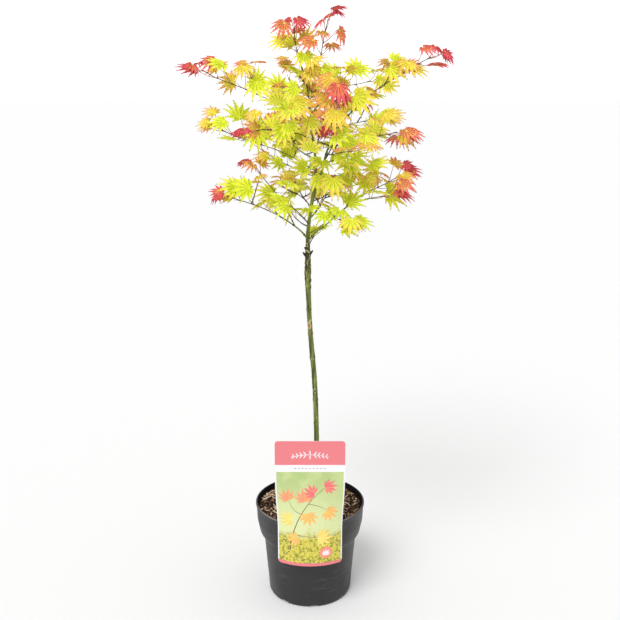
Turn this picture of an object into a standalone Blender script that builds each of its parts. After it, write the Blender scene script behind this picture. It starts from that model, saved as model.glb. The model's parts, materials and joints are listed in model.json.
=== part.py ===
"""A young grafted moon maple in a nursery pot, with the picture card that stands at its rim.

Metres, +Z up, and the card faces -Y. The origin is the middle of the pot's flat underside.
The tables below are in millimetres. The trunk, each leader and each bough is one solid, and
each spray of foliage is one solid of twigs, leaf stalks and leaves.
"""

import math
import random

import bpy
from mathutils import Matrix, Vector
from mathutils.bvhtree import BVHTree

MM = 0.001
GAP = 0.3 * MM
UP = Vector((0.0, 0.0, 1.0))

# The pot: outer side from the rim down, as (radius, height).
POT_OUTER = (
    (93.9, 169.0),
    (95.2, 167.6),
    (95.2, 164.6),
    (93.9, 162.8),
    (92.7, 138.0),
    (88.4, 117.0),
    (86.6, 113.0),
    (81.8, 109.0),
    (80.6, 103.0),
    (78.2, 74.0),
    (74.5, 30.0),
    (72.6, 4.5),
    (70.2, 0.0),
)
POT_WALL = 1.6
POT_FLOOR = 2.6
POT_INNER_HEIGHTS = (30.0, 109.0, 117.0, 138.0, 162.8)
POT_STEPS = 40
NOTCHES = 8
NOTCH_RADIUS = 12.0
NOTCH_DEPTH = 4.0
NOTCH_INNER = 57.0

SOIL_TOP = 161.0

# The card: half its width, its lower and upper edge, thickness, and the strip that holds it.
CARD_HALF = 57.2
CARD_FOOT = 94.5
CARD_TOP = 321.0
CARD_THICK = 0.8
CARD_CORNER = 5.0
CARD_BEND = 96.0
CARD_BENT_BELOW = 154.0
CARD_FLAT_ABOVE = 274.0
CARD_COLUMNS = 8
CARD_ROWS = 7
STRIP_HALF = 14.0
STRIP_TOP = 266.0
STRIP_FOOT = 163.5
STRIP_RADIUS = 90.6
STRIP_STRAIGHT_TO = 172.0

# The trunk from its cut on the soil to the fork, as (x, y, z, radius).
TRUNK = (
    (12.9, 0.0, 161.4, 6.8),
    (12.8, 0.0, 166.0, 5.5),
    (12.5, 0.0, 176.0, 4.8),
    (11.9, 0.0, 219.0, 4.5),
    (11.4, 0.0, 281.0, 4.4),
    (9.4, 0.0, 355.0, 4.3),
    (6.4, 0.0, 409.0, 4.2),
    (4.2, 0.0, 432.0, 4.5),
    (1.7, 0.0, 462.0, 4.1),
    (-1.2, 0.0, 506.0, 4.1),
    (-2.1, 0.0, 531.0, 4.2),
    (-3.3, 0.0, 558.0, 4.5),
    (-3.8, 0.0, 576.0, 5.5),
    (-3.6, 0.0, 592.0, 5.1),
    (-3.4, 0.0, 608.0, 4.5),
    (-3.5, 0.0, 621.0, 3.7),
    (-3.2, 0.0, 645.0, 3.1),
    (0.0, 0.0, 674.0, 3.1),
    (4.8, 0.0, 703.0, 3.0),
    (9.2, 0.0, 720.0, 3.0),
)
TRUNK_SIDES = 10
STUBS = ((-1, 602.0), (1, 605.0))
STUB_LENGTH = 9.0
STUB_RADIUS = 1.7

# Each limb: what it leaves, how far along that, its radius at foot and tip, its course.
LIMBS = {
    "leader_left": (
        "trunk", 1.0, 2.6, 0.9,
        ((8, 8, 768), (5, 10, 787), (2, 15, 825), (-4, 20, 872), (-9, 22, 891)),
    ),
    "leader_right": (
        "leader_left", 0.04, 2.0, 0.9,
        ((19, -6, 744), (28, -15, 779), (50, -25, 821), (79, -32, 850)),
    ),
    "low_left": (
        "trunk", 0.842, 1.4, 0.7,
        ((-14, -6, 647), (-32, -11, 662), (-50, -15, 674), (-73, -20, 686)),
    ),
    "low_left_upper": (
        "low_left", 0.3, 0.8, 0.6,
        ((-46, -2, 697), (-75, 5, 732)),
    ),
    "low_right": (
        "trunk", 0.837, 1.4, 0.7,
        ((10, -6, 646), (25, -10, 658), (48, -15, 680), (73, -20, 700)),
    ),
    "low_right_lower": (
        "low_right", 0.8, 0.8, 0.6,
        ((62, -45, 700), (83, -58, 706)),
    ),
    "low_front": (
        "trunk", 0.859, 0.9, 0.6,
        ((14, -25, 656), (24, -45, 669), (32, -60, 680)),
    ),
    "mid_left_thin": (
        "leader_left", 0.08, 0.8, 0.6,
        ((-7, 8, 739), (-18, 14, 744)),
    ),
    "mid_left": (
        "leader_left", 0.14, 1.1, 0.6,
        ((-12, 0, 755), (-23, -3, 763), (-49, -8, 776)),
    ),
    "mid_front": (
        "leader_right", 0.42, 1.0, 0.6,
        ((9, -34, 793), (-6, -46, 800), (-22, -60, 806)),
    ),
    "mid_right": (
        "leader_right", 0.40, 1.0, 0.6,
        ((40, -24, 784), (54, -30, 790), (75, -38, 795)),
    ),
    "fork_right": (
        "leader_right", 0.07, 1.0, 0.6,
        ((19, -10, 730), (30, -22, 737), (42, -36, 740)),
    ),
    "centre_front": (
        "leader_right", 0.58, 1.0, 0.6,
        ((40, -56, 820), (39, -88, 838)),
    ),
    "up_left": (
        "leader_left", 0.52, 1.1, 0.7,
        ((-11, 10, 826), (-23, 7, 834), (-41, 4, 842)),
    ),
    "top_right": (
        "leader_left", 0.82, 1.0, 0.7,
        ((2, 14, 884), (9, 8, 902)),
    ),
    "back_right": (
        "leader_left", 0.64, 1.1, 0.7,
        ((19, 50, 851), (43, 90, 866)),
    ),
    "back_mid": (
        "leader_left", 0.36, 1.1, 0.7,
        ((20, 50, 797), (51, 100, 807)),
    ),
    "back_low": (
        "trunk", 0.903, 1.2, 0.7,
        ((15, 50, 677), (27, 95, 691)),
    ),
    "back_left": (
        "trunk", 0.934, 1.1, 0.7,
        ((-8, 40, 692), (-24, 90, 697)),
    ),
    "back_mid_left": (
        "leader_left", 0.24, 1.1, 0.7,
        ((-13, 50, 769), (-34, 100, 781)),
    ),
    "back_up": (
        "leader_left", 0.69, 1.0, 0.7,
        ((-8, 50, 848), (-17, 95, 858)),
    ),
    "front_left": (
        "leader_left", 0.44, 1.0, 0.7,
        ((0, -30, 809), (-12, -70, 823)),
    ),
    "front_right": (
        "leader_right", 0.33, 0.9, 0.6,
        ((32, -60, 774), (44, -100, 780)),
    ),
}
LIMB_SIDES = 6

# Each spray: the limb, how far along it, leaf length, tint at foot and tip, a seed for each
# pair of leaves, and the stem's course. Tint runs from 0, lime green, to 1, red.
SPRAYS = {
    "up_left_spray": (
        "up_left", 1.0, 31, 0.05, 1.0, (1144, 941, 500, 549, 317),
        ((-63, 2, 854), (-78, 0, 860), (-101, -2, 870), (-124, -4, 879), (-147, -6, 888), (-165, -8, 898)),
    ),
    "up_right_spray": (
        "leader_right", 1.0, 31, 0.25, 1.0, (1553, 1217, 926, 641, 4),
        ((97, -33, 866), (116, -34, 879), (138, -34, 892), (159, -33, 905), (182, -32, 917)),
    ),
    "top_left_spray": (
        "leader_left", 1.0, 28, 0.35, 1.0, (509, 463, 314, 1366),
        ((-15, 22, 909), (-18, 20, 920), (-23, 16, 940), (-25, 12, 961)),
    ),
    "top_right_spray": (
        "top_right", 1.0, 27, 0.5, 1.0, (1125, 1150, 1100, 1237),
        ((13, 6, 910), (17, 4, 922), (22, 0, 950), (28, -4, 974)),
    ),
    "mid_left_spray": (
        "mid_left", 1.0, 33, 0.05, 0.4, (1144, 1762, 1436, 298),
        ((-78, -11, 786), (-102, -14, 794), (-121, -17, 801), (-138, -20, 809)),
    ),
    "low_left_spray": (
        "low_left", 1.0, 31, 0.1, 0.75, (827, 722, 1764),
        ((-98, -24, 696), (-116, -28, 702), (-129, -30, 707)),
    ),
    "low_left_red_spray": (
        "low_left_upper", 1.0, 23, 0.6, 0.95, (1694, 1410),
        ((-83, 6, 744), (-93, 8, 752)),
    ),
    "mid_front_spray": (
        "mid_front", 1.0, 29, 0.2, 1.0, (1242, 558, 703),
        ((-45, -70, 809), (-65, -80, 813), (-80, -88, 811)),
    ),
    "mid_right_spray": (
        "mid_right", 1.0, 32, 0.12, 1.0, (1253, 1605, 1688, 1263),
        ((93, -42, 799), (114, -46, 803), (132, -50, 807)),
    ),
    "low_right_spray": (
        "low_right", 1.0, 29, 0.05, 1.0, (646, 635, 1792, 493),
        ((96, -24, 715), (118, -27, 726), (138, -29, 738)),
    ),
    "low_right_lower_spray": (
        "low_right_lower", 1.0, 33, 0.2, 0.9, (1337, 1090),
        ((98, -62, 709), (113, -66, 712)),
    ),
    "centre_front_spray": (
        "centre_front", 1.0, 34, 0.5, 1.0, (1152, 331, 403),
        ((39, -112, 850), (38, -134, 861)),
    ),
    "low_front_spray": (
        "low_front", 1.0, 32, 0.0, 0.15, (1346, 1175, 98),
        ((43, -76, 678), (55, -90, 677)),
    ),
    "mid_left_thin_spray": (
        "mid_left_thin", 1.0, 28, 0.05, 0.6, (179, 961, 1319),
        ((-32, 22, 749), (-56, 30, 760), (-78, 42, 773)),
    ),
    "right_star_spray": (
        "leader_right", 0.5, 24, 0.8, 0.85, (133,),
        ((33, -62, 802),),
    ),
    "right_top_spray": (
        "back_right", 1.0, 32, 0.05, 0.25, (352, 1399, 1421),
        ((61, 112, 874), (81, 124, 877), (102, 132, 882)),
    ),
    "up_front_spray": (
        "leader_left", 0.93, 32, 0.0, 0.5, (1182, 791),
        ((-2, -16, 893), (3, -42, 898)),
    ),
    "up_back_spray": (
        "leader_left", 0.89, 29, 0.25, 0.45, (1525, 1070),
        ((-19, 48, 893), (-32, 66, 901)),
    ),
    "back_mid_spray": (
        "back_mid", 1.0, 32, 0.05, 0.4, (460, 963, 1448),
        ((79, 120, 813), (103, 130, 817), (121, 134, 819)),
    ),
    "fork_right_spray": (
        "fork_right", 1.0, 34, 0.0, 0.2, (752, 153, 1467),
        ((55, -50, 741), (70, -62, 741)),
    ),
    "short_right_spray": (
        "leader_right", 0.2, 33, 0.0, 0.1, (335, 1112),
        ((32, -46, 763), (41, -72, 767)),
    ),
    "centre_low_spray": (
        "leader_left", 0.18, 33, 0.1, 0.2, (1286, 550),
        ((4, -40, 752), (1, -85, 755)),
    ),
    "low_left_inner_spray": (
        "trunk", 0.888, 32, 0.0, 0.12, (1364, 1308),
        ((-16, -36, 680), (-29, -62, 696)),
    ),
    "trunk_spray": (
        "trunk", 0.822, 24, 0.0, 0.1, (1188,),
        ((7, 18, 636),),
    ),
    "front_left_spray": (
        "front_left", 1.0, 33, 0.1, 0.3, (894, 1545, 1305),
        ((-22, -100, 830), (-31, -130, 837)),
    ),
    "front_right_spray": (
        "front_right", 1.0, 32, 0.05, 0.5, (944, 647, 999),
        ((53, -130, 784), (59, -160, 787)),
    ),
    "back_low_spray": (
        "back_low", 1.0, 32, 0.1, 0.8, (761, 47, 504),
        ((42, 130, 701), (54, 165, 704)),
    ),
    "back_left_spray": (
        "back_left", 1.0, 32, 0.05, 0.7, (262, 600, 1500),
        ((-37, 130, 697), (-45, 165, 697)),
    ),
    "back_mid_left_spray": (
        "back_mid_left", 1.0, 32, 0.1, 0.8, (112, 1089, 1418),
        ((-52, 138, 786), (-67, 172, 790)),
    ),
    "back_up_spray": (
        "back_up", 1.0, 31, 0.15, 0.9, (105, 388, 444),
        ((-24, 130, 862), (-31, 165, 865)),
    ),
}
TWIG_SIDES = 3
TWIG_FOOT = 0.95
TWIG_TIP = 0.75
STALK_RADIUS = 0.7
STALK_NECK = 2.4
STALK_STEP = 1.7
FIRST_PAIR = 0.3
TRIES = 12
# The blades lean from level towards the light, which comes from the front.
TO_LIGHT = Vector((0.0, -0.55, 0.0))
# No leaf goes further than this from its own spray's stem, above the top or below the foot.
SPRAY_REACH = 72.0
CROWN_TOP = 990.0
CROWN_FOOT = 564.0

# A leaf: the bearing and length of each lobe on one side, and the notch that follows it.
LOBES = ((0, 1.0, 0.56), (31, 0.96, 0.53), (62, 0.85, 0.46), (97, 0.62, 0.2))
LEAF_THICK = 1.3
LEAF_SPACE = 2.6

COLOURS = {
    "pot": (0.042, 0.041, 0.042),
    "soil": (0.075, 0.040, 0.022),
    "card": (0.72, 0.09, 0.12),
    "bark": (0.085, 0.110, 0.030),
    "lime": (0.50, 0.58, 0.035),
    "amber": (0.72, 0.42, 0.05),
    "red": (0.62, 0.06, 0.08),
}
ROUGHNESS = {"pot": 0.38, "soil": 0.95, "card": 0.35, "bark": 0.75}


def clear_scene():
    for thing in list(bpy.data.objects):
        bpy.data.objects.remove(thing, do_unlink=True)


def new_collection(name, is_cutter=False):
    collection = bpy.data.collections.new(name)
    bpy.context.scene.collection.children.link(collection)
    collection.hide_render = is_cutter
    return collection


def material(name):
    made = bpy.data.materials.get(name)
    if made is None:
        made = bpy.data.materials.new(name)
        made.use_nodes = True
        shader = made.node_tree.nodes["Principled BSDF"]
        shader.inputs["Base Color"].default_value = (*COLOURS[name], 1.0)
        shader.inputs["Roughness"].default_value = ROUGHNESS.get(name, 0.55)
        made.diffuse_color = (*COLOURS[name], 1.0)
    return made


def mesh_object(name, shape, collection, look):
    mesh = bpy.data.meshes.new(name)
    mesh.from_pydata([tuple(point) for point in shape[0]], [], shape[1])
    mesh.materials.append(material(look))
    made = bpy.data.objects.new(name, mesh)
    collection.objects.link(made)
    return made


def apply_modifiers(thing):
    """Replace an object's mesh by what its modifiers make of it."""
    graph = bpy.context.evaluated_depsgraph_get()
    mesh = bpy.data.meshes.new_from_object(thing.evaluated_get(graph))
    thing.modifiers.clear()
    thing.data = mesh


def millimetres(points):
    return [Vector(point) * MM for point in points]


def lathe(name, profile, collection, look):
    """A closed round solid from (radius, height) points that run down the outer side."""
    points = [(radius * MM, 0.0, height * MM) for radius, height in profile]
    mesh = bpy.data.meshes.new(name)
    mesh.from_pydata(points, [(i, i + 1) for i in range(len(points) - 1)], [])
    mesh.materials.append(material(look))
    made = bpy.data.objects.new(name, mesh)
    collection.objects.link(made)
    screw = made.modifiers.new("turned", "SCREW")
    screw.axis = "Z"
    screw.angle = 2 * math.pi
    screw.steps = POT_STEPS
    screw.render_steps = POT_STEPS
    screw.use_merge_vertices = True
    screw.merge_threshold = 0.0001
    screw.use_smooth_shade = False
    return made


def inner_radius(height):
    """The pot's inner radius at a height, from its outer side."""
    for (upper, top), (lower, foot) in zip(POT_OUTER, POT_OUTER[1:]):
        if foot <= height <= top:
            share = (height - foot) / (top - foot)
            return lower + share * (upper - lower) - POT_WALL
    return POT_OUTER[0][0] - POT_WALL


def inner_side(low, high, clearance):
    """The pot's inner side from one height up to another, drawn in by a clearance."""
    heights = [low]
    heights += [height for height in POT_INNER_HEIGHTS if low < height < high]
    heights.append(high)
    return [(inner_radius(height) - clearance, height) for height in heights]


def make_pot(collection, cutters):
    rim = POT_OUTER[0][1]
    profile = [(0.0, POT_FLOOR)]
    profile += inner_side(POT_FLOOR, rim, 0.0)
    profile += list(POT_OUTER)
    profile.append((0.0, 0.0))
    pot = lathe("pot", profile, collection, "pot")
    length = (POT_OUTER[-1][0] + 12.0 - NOTCH_INNER) * MM
    for index in range(NOTCHES):
        bearing = math.radians(-84.0 + index * 360.0 / NOTCHES)
        bpy.ops.mesh.primitive_cylinder_add(vertices=20, radius=NOTCH_RADIUS * MM, depth=length)
        cutter = bpy.context.object
        cutter.name = f"notch_{index}"
        middle = NOTCH_INNER * MM + length / 2
        outward = Vector((math.cos(bearing), math.sin(bearing), 0.0))
        turn = UP.rotation_difference(outward).to_matrix().to_4x4()
        place = outward * middle + UP * (NOTCH_DEPTH - NOTCH_RADIUS) * MM
        cutter.matrix_world = Matrix.Translation(place) @ turn
        for holder in list(cutter.users_collection):
            holder.objects.unlink(cutter)
        cutters.objects.link(cutter)
        cutter.hide_render = True
        cutter.display_type = "WIRE"
    notches = pot.modifiers.new("notches", "BOOLEAN")
    notches.operation = "DIFFERENCE"
    notches.operand_type = "COLLECTION"
    notches.collection = cutters
    return pot


def make_soil(collection):
    low = POT_FLOOR + 0.3
    profile = [(0.0, SOIL_TOP)]
    profile += list(reversed(inner_side(low, SOIL_TOP, 0.3)))
    profile.append((0.0, low))
    return lathe("soil", profile, collection, "soil")


def smooth_step(low, high, value):
    share = min(max((value - low) / (high - low), 0.0), 1.0)
    return share * share * (3.0 - 2.0 * share)


def card_point(across, height, inward):
    """A point of the card, bent round the pot at its foot and flat at its top."""
    bend = (1.0 - smooth_step(CARD_BENT_BELOW, CARD_FLAT_ABOVE, height)) / CARD_BEND
    front = CARD_BEND + CARD_THICK - inward
    if bend < 1e-6:
        return Vector((across, -front, height)) * MM
    turn = across * bend
    radius = 1.0 / bend - inward
    x = radius * math.sin(turn)
    y = -CARD_BEND - CARD_THICK + 1.0 / bend - radius * math.cos(turn)
    return Vector((x, y, height)) * MM


def slab(rows):
    """A closed thin solid from rows of (front point, back point) pairs."""
    columns = len(rows[0])
    points = [pair[0] for row in rows for pair in row]
    back = len(points)
    points += [pair[1] for row in rows for pair in row]
    faces = []
    for i in range(len(rows) - 1):
        for j in range(columns - 1):
            a = i * columns + j
            b, c, d = a + 1, a + columns + 1, a + columns
            faces.append((a, b, c, d))
            faces.append((back + a, back + d, back + c, back + b))
    edge = list(range(columns))
    edge += [i * columns + columns - 1 for i in range(1, len(rows))]
    edge += [(len(rows) - 1) * columns + j for j in range(columns - 2, -1, -1)]
    edge += [i * columns for i in range(len(rows) - 2, 0, -1)]
    for a, b in zip(edge, edge[1:] + edge[:1]):
        faces.append((b, a, back + a, back + b))
    return points, faces


def card_rows():
    """Heights of the card's rows, close together at its rounded corners, with half widths."""
    low = []
    for turn in spread(4, 0.0, math.pi / 2):
        rise = CARD_CORNER * (1.0 - math.cos(turn))
        low.append((CARD_FOOT + rise, CARD_HALF - CARD_CORNER * (1.0 - math.sin(turn))))
    high = [(CARD_TOP + CARD_FOOT - height, half) for height, half in reversed(low)]
    span = high[0][0] - low[-1][0]
    middle = [(low[-1][0] + span * k / CARD_ROWS, CARD_HALF) for k in range(1, CARD_ROWS)]
    return low + middle + high


def make_card(collection):
    rows = []
    for height, half in card_rows():
        row = []
        for column in range(CARD_COLUMNS + 1):
            across = half * (2.0 * column / CARD_COLUMNS - 1.0)
            row.append((card_point(across, height, 0.0), card_point(across, height, CARD_THICK)))
        rows.append(row)
    card = mesh_object("picture_card", slab(rows), collection, "card")

    strip_rows = []
    for height in spread(8, STRIP_FOOT, STRIP_TOP):
        lean = smooth_step(STRIP_STRAIGHT_TO, STRIP_TOP, height)
        row = []
        for across in spread(4, -STRIP_HALF, STRIP_HALF):
            inner = math.sqrt(STRIP_RADIUS ** 2 - across ** 2)
            outer = -card_point(across, height, CARD_THICK - 0.4).y / MM
            front = inner + lean * (outer - inner)
            row.append((Vector((across, -front, height)) * MM,
                        Vector((across, CARD_THICK - front, height)) * MM))
        strip_rows.append(row)
    helpers = new_collection("card_helpers", True)
    mesh_object("card_strip", slab(strip_rows), helpers, "card")
    join_collection(card, helpers)
    return card


def join_collection(thing, collection):
    """Fuse a collection's solids to one object, and remove them."""
    union = thing.modifiers.new("joined", "BOOLEAN")
    union.operation = "UNION"
    union.operand_type = "COLLECTION"
    union.collection = collection
    union.solver = "EXACT"
    union.use_self = True
    apply_modifiers(thing)
    for helper in list(collection.objects):
        bpy.data.objects.remove(helper, do_unlink=True)
    bpy.data.collections.remove(collection)


def spread(count, first, last):
    """Evenly spaced values from first to last."""
    return [first + (last - first) * i / (count - 1) for i in range(count)]


def directions(points):
    """The direction of a course at each of its points."""
    found = []
    for index in range(len(points)):
        before = points[max(index - 1, 0)]
        after = points[min(index + 1, len(points) - 1)]
        found.append((after - before).normalized())
    return found


def tube(points, radii, sides, foot=None):
    """A closed tapering tube. Its foot may be cut along a plane with its own normal."""
    headings = directions(points)
    side = headings[0].orthogonal().normalized()
    vertices = []
    for index, (point, radius) in enumerate(zip(points, radii)):
        ahead = headings[index]
        side = (side - ahead * side.dot(ahead)).normalized()
        other = ahead.cross(side)
        for corner in range(sides):
            turn = 2 * math.pi * corner / sides
            offset = (side * math.cos(turn) + other * math.sin(turn)) * radius
            if index == 0 and foot is not None:
                offset -= ahead * (offset.dot(foot) / ahead.dot(foot))
            vertices.append(point + offset)
    faces = [tuple(reversed(range(sides)))]
    for ring in range(len(points) - 1):
        for corner in range(sides):
            a = ring * sides + corner
            b = ring * sides + (corner + 1) % sides
            faces.append((a, b, b + sides, a + sides))
    last = (len(points) - 1) * sides
    faces.append(tuple(range(last, last + sides)))
    return vertices, faces


def lengths(points):
    """How far along a course each point lies, from 0 to 1."""
    sums = [0.0]
    for before, after in zip(points, points[1:]):
        sums.append(sums[-1] + (after - before).length)
    return [total / sums[-1] for total in sums]


def along(course, share):
    """The point, direction and radius of a limb at a share of its length."""
    points, radii = course
    shares = lengths(points)
    for index in range(len(points) - 1):
        if share <= shares[index + 1] or index == len(points) - 2:
            part = (share - shares[index]) / (shares[index + 1] - shares[index])
            point = points[index].lerp(points[index + 1], part)
            ahead = (points[index + 1] - points[index]).normalized()
            return point, ahead, radii[index] + part * (radii[index + 1] - radii[index])


def start_on(course, share, towards):
    """Where a shoot starts, 0.3 mm clear of the limb it leaves, and the plane of its foot."""
    point, ahead, radius = along(course, share)
    if share == 1.0:
        return point + ahead * GAP, ahead
    heading = (towards - point).normalized()
    outward = (heading - ahead * heading.dot(ahead)).normalized()
    reach = (radius + GAP) / heading.dot(outward)
    return point + heading * reach, outward


def limb_courses():
    """The points, radii and foot plane of the trunk and every limb."""
    trunk = (millimetres(point[:3] for point in TRUNK), [point[3] * MM for point in TRUNK])
    courses = {"trunk": trunk}
    feet = {"trunk": UP}
    for name, (parent, share, foot_radius, tip_radius, course) in LIMBS.items():
        points = millimetres(course)
        start, feet[name] = start_on(courses[parent], share, points[0])
        points.insert(0, start)
        taper = [foot_radius + (tip_radius - foot_radius) * part for part in lengths(points)]
        courses[name] = (points, [radius * MM for radius in taper])
    return courses, feet


def leaf_outline(length, droop, fold):
    """The leaf's outline round its stalk as (forward, across, down), tips and notches."""
    right = []
    for index, (bearing, reach, notch) in enumerate(LOBES):
        following = LOBES[index + 1][0] if index + 1 < len(LOBES) else 180
        right.append((bearing * fold, reach))
        right.append(((bearing + following) / 2 * fold if following < 180 else 180, notch))
    left = [(-bearing, reach) for bearing, reach in reversed(right[1:-1])]
    outline = []
    for bearing, reach in right + left:
        turn = math.radians(bearing)
        drop = droop * reach ** 1.6
        span = length * reach
        outline.append((span * math.cos(turn), span * math.sin(turn), length * drop))
    return outline


def rim(leaf, grow=1.0):
    """The points of a leaf's outline, from the tip of its middle lobe round to it again."""
    hub, ahead, across, out = leaf["hub"], leaf["ahead"], leaf["across"], leaf["out"]
    outline = leaf_outline(leaf["length"] * grow, leaf["droop"], leaf["fold"])
    return [hub + ahead * forward + across * side - out * down for forward, side, down in outline]


def blade(leaf):
    """A leaf as a plain closed star, a little larger and thicker than it is, to test its room."""
    points = rim(leaf, 1.05)
    count = len(points)
    points.append(leaf["hub"] + leaf["out"] * LEAF_SPACE * MM / 2)
    points.append(leaf["hub"] - leaf["out"] * LEAF_SPACE * MM / 2)
    faces = []
    for i in range(count):
        j = (i + 1) % count
        faces.append((i, j, count))
        faces.append((j, i, count + 1))
    return points, faces


def stalk_course(leaf):
    """A leaf stalk's course from the hub, where it meets the leaf's near side, to the twig."""
    start, hub, out = leaf["start"], leaf["hub"], leaf["out"]
    under = -out if (start - hub).dot(out) < 0 else out
    neck = hub + (under + (start - hub).normalized()) * STALK_NECK * MM
    return [hub + under * LEAF_THICK * MM / 2, neck, start], under


def stalk(leaf):
    """A leaf's stalk as a plain tube, to test its room."""
    return tube(stalk_course(leaf)[0], [STALK_RADIUS * MM] * 3, TWIG_SIDES)


def leaf_solid(leaf):
    """A leaf with its stalk in one closed piece: a star whose near side runs out into the stalk."""
    points = rim(leaf)
    count = len(points)
    course, under = stalk_course(leaf)
    points.append(leaf["hub"] - under * LEAF_THICK * MM / 2)
    offsets = []
    for corner in range(3):
        turn = 2 * math.pi * corner / 3
        side = leaf["ahead"] * math.cos(turn) + leaf["across"] * math.sin(turn)
        offsets.append(side * STALK_RADIUS * MM)
    heading = under
    for index, point in enumerate(course):
        if index:
            following = course[min(index + 1, len(course) - 1)]
            ahead = (following - course[index - 1]).normalized()
            twist = heading.rotation_difference(ahead)
            offsets = [twist @ offset for offset in offsets]
            heading = ahead
        points += [point + offset for offset in offsets]
    faces = []
    for i in range(count):
        j = (i + 1) % count
        corner = count + 1 + (0 if i < 3 or i >= 11 else 1 if i < 7 else 2)
        faces.append((i, j, count))
        faces.append((j, i, corner))
    ring = count + 1
    for i, corner in ((3, 0), (7, 1), (11, 2)):
        faces.append((i, ring + corner, ring + (corner + 1) % 3))
    for index in range(len(course) - 1):
        for corner in range(3):
            a = ring + 3 * index + corner
            b = ring + 3 * index + (corner + 1) % 3
            faces.append((a, a + 3, b + 3, b))
    last = ring + 3 * (len(course) - 1)
    faces.append((last, last + 2, last + 1))
    return facing_out(points, faces)


def facing_out(points, faces):
    """The solid with its faces turned outward."""
    volume = 0.0
    for face in faces:
        for i in range(1, len(face) - 1):
            a, b, c = points[face[0]], points[face[i]], points[face[i + 1]]
            volume += a.dot(b.cross(c))
    return points, faces if volume > 0 else [face[::-1] for face in faces]


def draw_leaf(dice, start, ahead, roll, opening, size, tint):
    """One leaf with its stalk, drawn from the dice, that leaves a twig on a given side."""
    level = ahead.cross(UP)
    level = level.normalized() if level.length > 0.2 else Vector((1.0, 0.0, 0.0))
    upper = level.cross(ahead)
    side = level * math.cos(roll) + upper * math.sin(roll)
    heading = ahead * math.cos(opening) + side * math.sin(opening) + UP * dice.uniform(0.05, 0.7)
    heading.normalize()
    length = size * dice.uniform(0.85, 1.2)
    hub = start + heading * length * dice.uniform(0.45, 1.15)
    tint = min(max(tint + dice.gauss(0.0, 0.09), 0.0), 1.0)
    out = UP + TO_LIGHT * dice.uniform(0.0, 1.4)
    out += Vector([dice.gauss(0.0, 0.28) for _ in range(3)])
    out.normalize()
    bearing = math.atan2(heading.y, heading.x) + dice.gauss(0.0, 0.45)
    forward = Vector((math.cos(bearing), math.sin(bearing), 0.0))
    forward = (forward - out * forward.dot(out)).normalized()
    across = out.cross(forward)
    dip = math.radians(dice.gauss(30.0 * tint - 4.0, 16.0))
    ahead = forward * math.cos(dip) - out * math.sin(dip)
    out = out * math.cos(dip) + forward * math.sin(dip)
    return {
        "start": start,
        "hub": hub,
        "ahead": ahead,
        "across": across,
        "out": out,
        "length": length,
        "droop": 0.04 + 0.34 * tint + dice.uniform(-0.08, 0.1),
        "fold": 1.0 - 0.22 * tint,
        "tint": tint,
    }


class Space:
    """What is taken: solids that a new leaf must stay clear of."""

    def __init__(self):
        self.taken = []

    def add(self, shape):
        points, faces = shape
        middle = sum(points, Vector()) / len(points)
        radius = max((point - middle).length for point in points)
        self.taken.append((middle, radius, BVHTree.FromPolygons(points, faces)))

    def is_clear(self, shape):
        points, faces = shape
        middle = sum(points, Vector()) / len(points)
        radius = max((point - middle).length for point in points)
        tree = None
        for other, other_radius, other_tree in self.taken:
            if (other - middle).length > radius + other_radius:
                continue
            tree = tree or BVHTree.FromPolygons(points, faces)
            if tree.overlap(other_tree):
                return False
        return True


def within_reach(shape, stem):
    """Whether a leaf keeps to its spray's space round the stem and to the crown's height."""
    for point in shape[0]:
        if not CROWN_FOOT * MM < point.z < CROWN_TOP * MM:
            return False
        if min((point - other).length for other in stem) > SPRAY_REACH * MM:
            return False
    return True


def stem_of(courses, spray):
    """The points of a spray's stem, and the plane of its foot."""
    parent, share, *_, course = spray
    points = millimetres(course)
    start, foot = start_on(courses[parent], share, points[0])
    points.insert(0, start)
    return points, foot


def grow_pair(spray, stem, index, seed, others, blades, wood):
    """The leaves at one node of a spray: a pair, and at the last node a third.

    others holds the other sprays and the limbs, blades and wood this spray's own leaves and twigs.
    """
    _, _, size, low, high, seeds, _ = spray
    count = len(seeds)
    place = 1.0 if count == 1 else FIRST_PAIR + (1.0 - FIRST_PAIR) * index / (count - 1)
    is_last = index == count - 1
    point, ahead, radius = along((stem, [0.0] * len(stem)), place)
    leaves = []
    for number in range(3 if is_last else 2):
        dice = random.Random(seed * 977 + number * 131 + index)
        turn = index * math.pi / 2 + number * math.pi + dice.gauss(0.0, 0.35)
        for attempt in range(TRIES):
            opening = math.radians(dice.uniform(15, 40) if is_last else dice.uniform(40, 75))
            if number == 2:
                opening *= 0.4
            length = size * MM * (1.0 - 0.15 * place) * (0.8 if number == 2 else 1.0)
            tint = low + (high - low) * ((place - FIRST_PAIR) / (1.0 - FIRST_PAIR)) ** 1.3
            root = point - ahead * STALK_STEP * MM * (number + (0.6 if is_last else 0.0))
            leaf = draw_leaf(dice, root, ahead, turn, opening, length, tint)
            turn += dice.uniform(-0.5, 0.5)
            shape = blade(leaf)
            if not within_reach(shape, stem):
                continue
            if not all(space.is_clear(shape) for space in (blades, wood, *others)):
                continue
            thin = stalk(leaf)
            if all(space.is_clear(thin) for space in (blades, *others)):
                blades.add(shape)
                wood.add(thin)
                leaves.append(leaf)
                break
    return leaves


def grow_spray(courses, spray, others):
    """The stem and leaves of one spray. A leaf that finds no room is left out."""
    stem, foot = stem_of(courses, spray)
    blades, wood = Space(), Space()
    wood.add(tube(stem, [TWIG_FOOT * MM] * len(stem), TWIG_SIDES))
    leaves = []
    for index, seed in enumerate(spray[5]):
        leaves += grow_pair(spray, stem, index, seed, others, blades, wood)
    return stem, foot, leaves


def stem_shape(stem, foot):
    radii = [(TWIG_FOOT + (TWIG_TIP - TWIG_FOOT) * part) * MM for part in lengths(stem)]
    return tube(stem, radii, TWIG_SIDES, foot)


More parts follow.
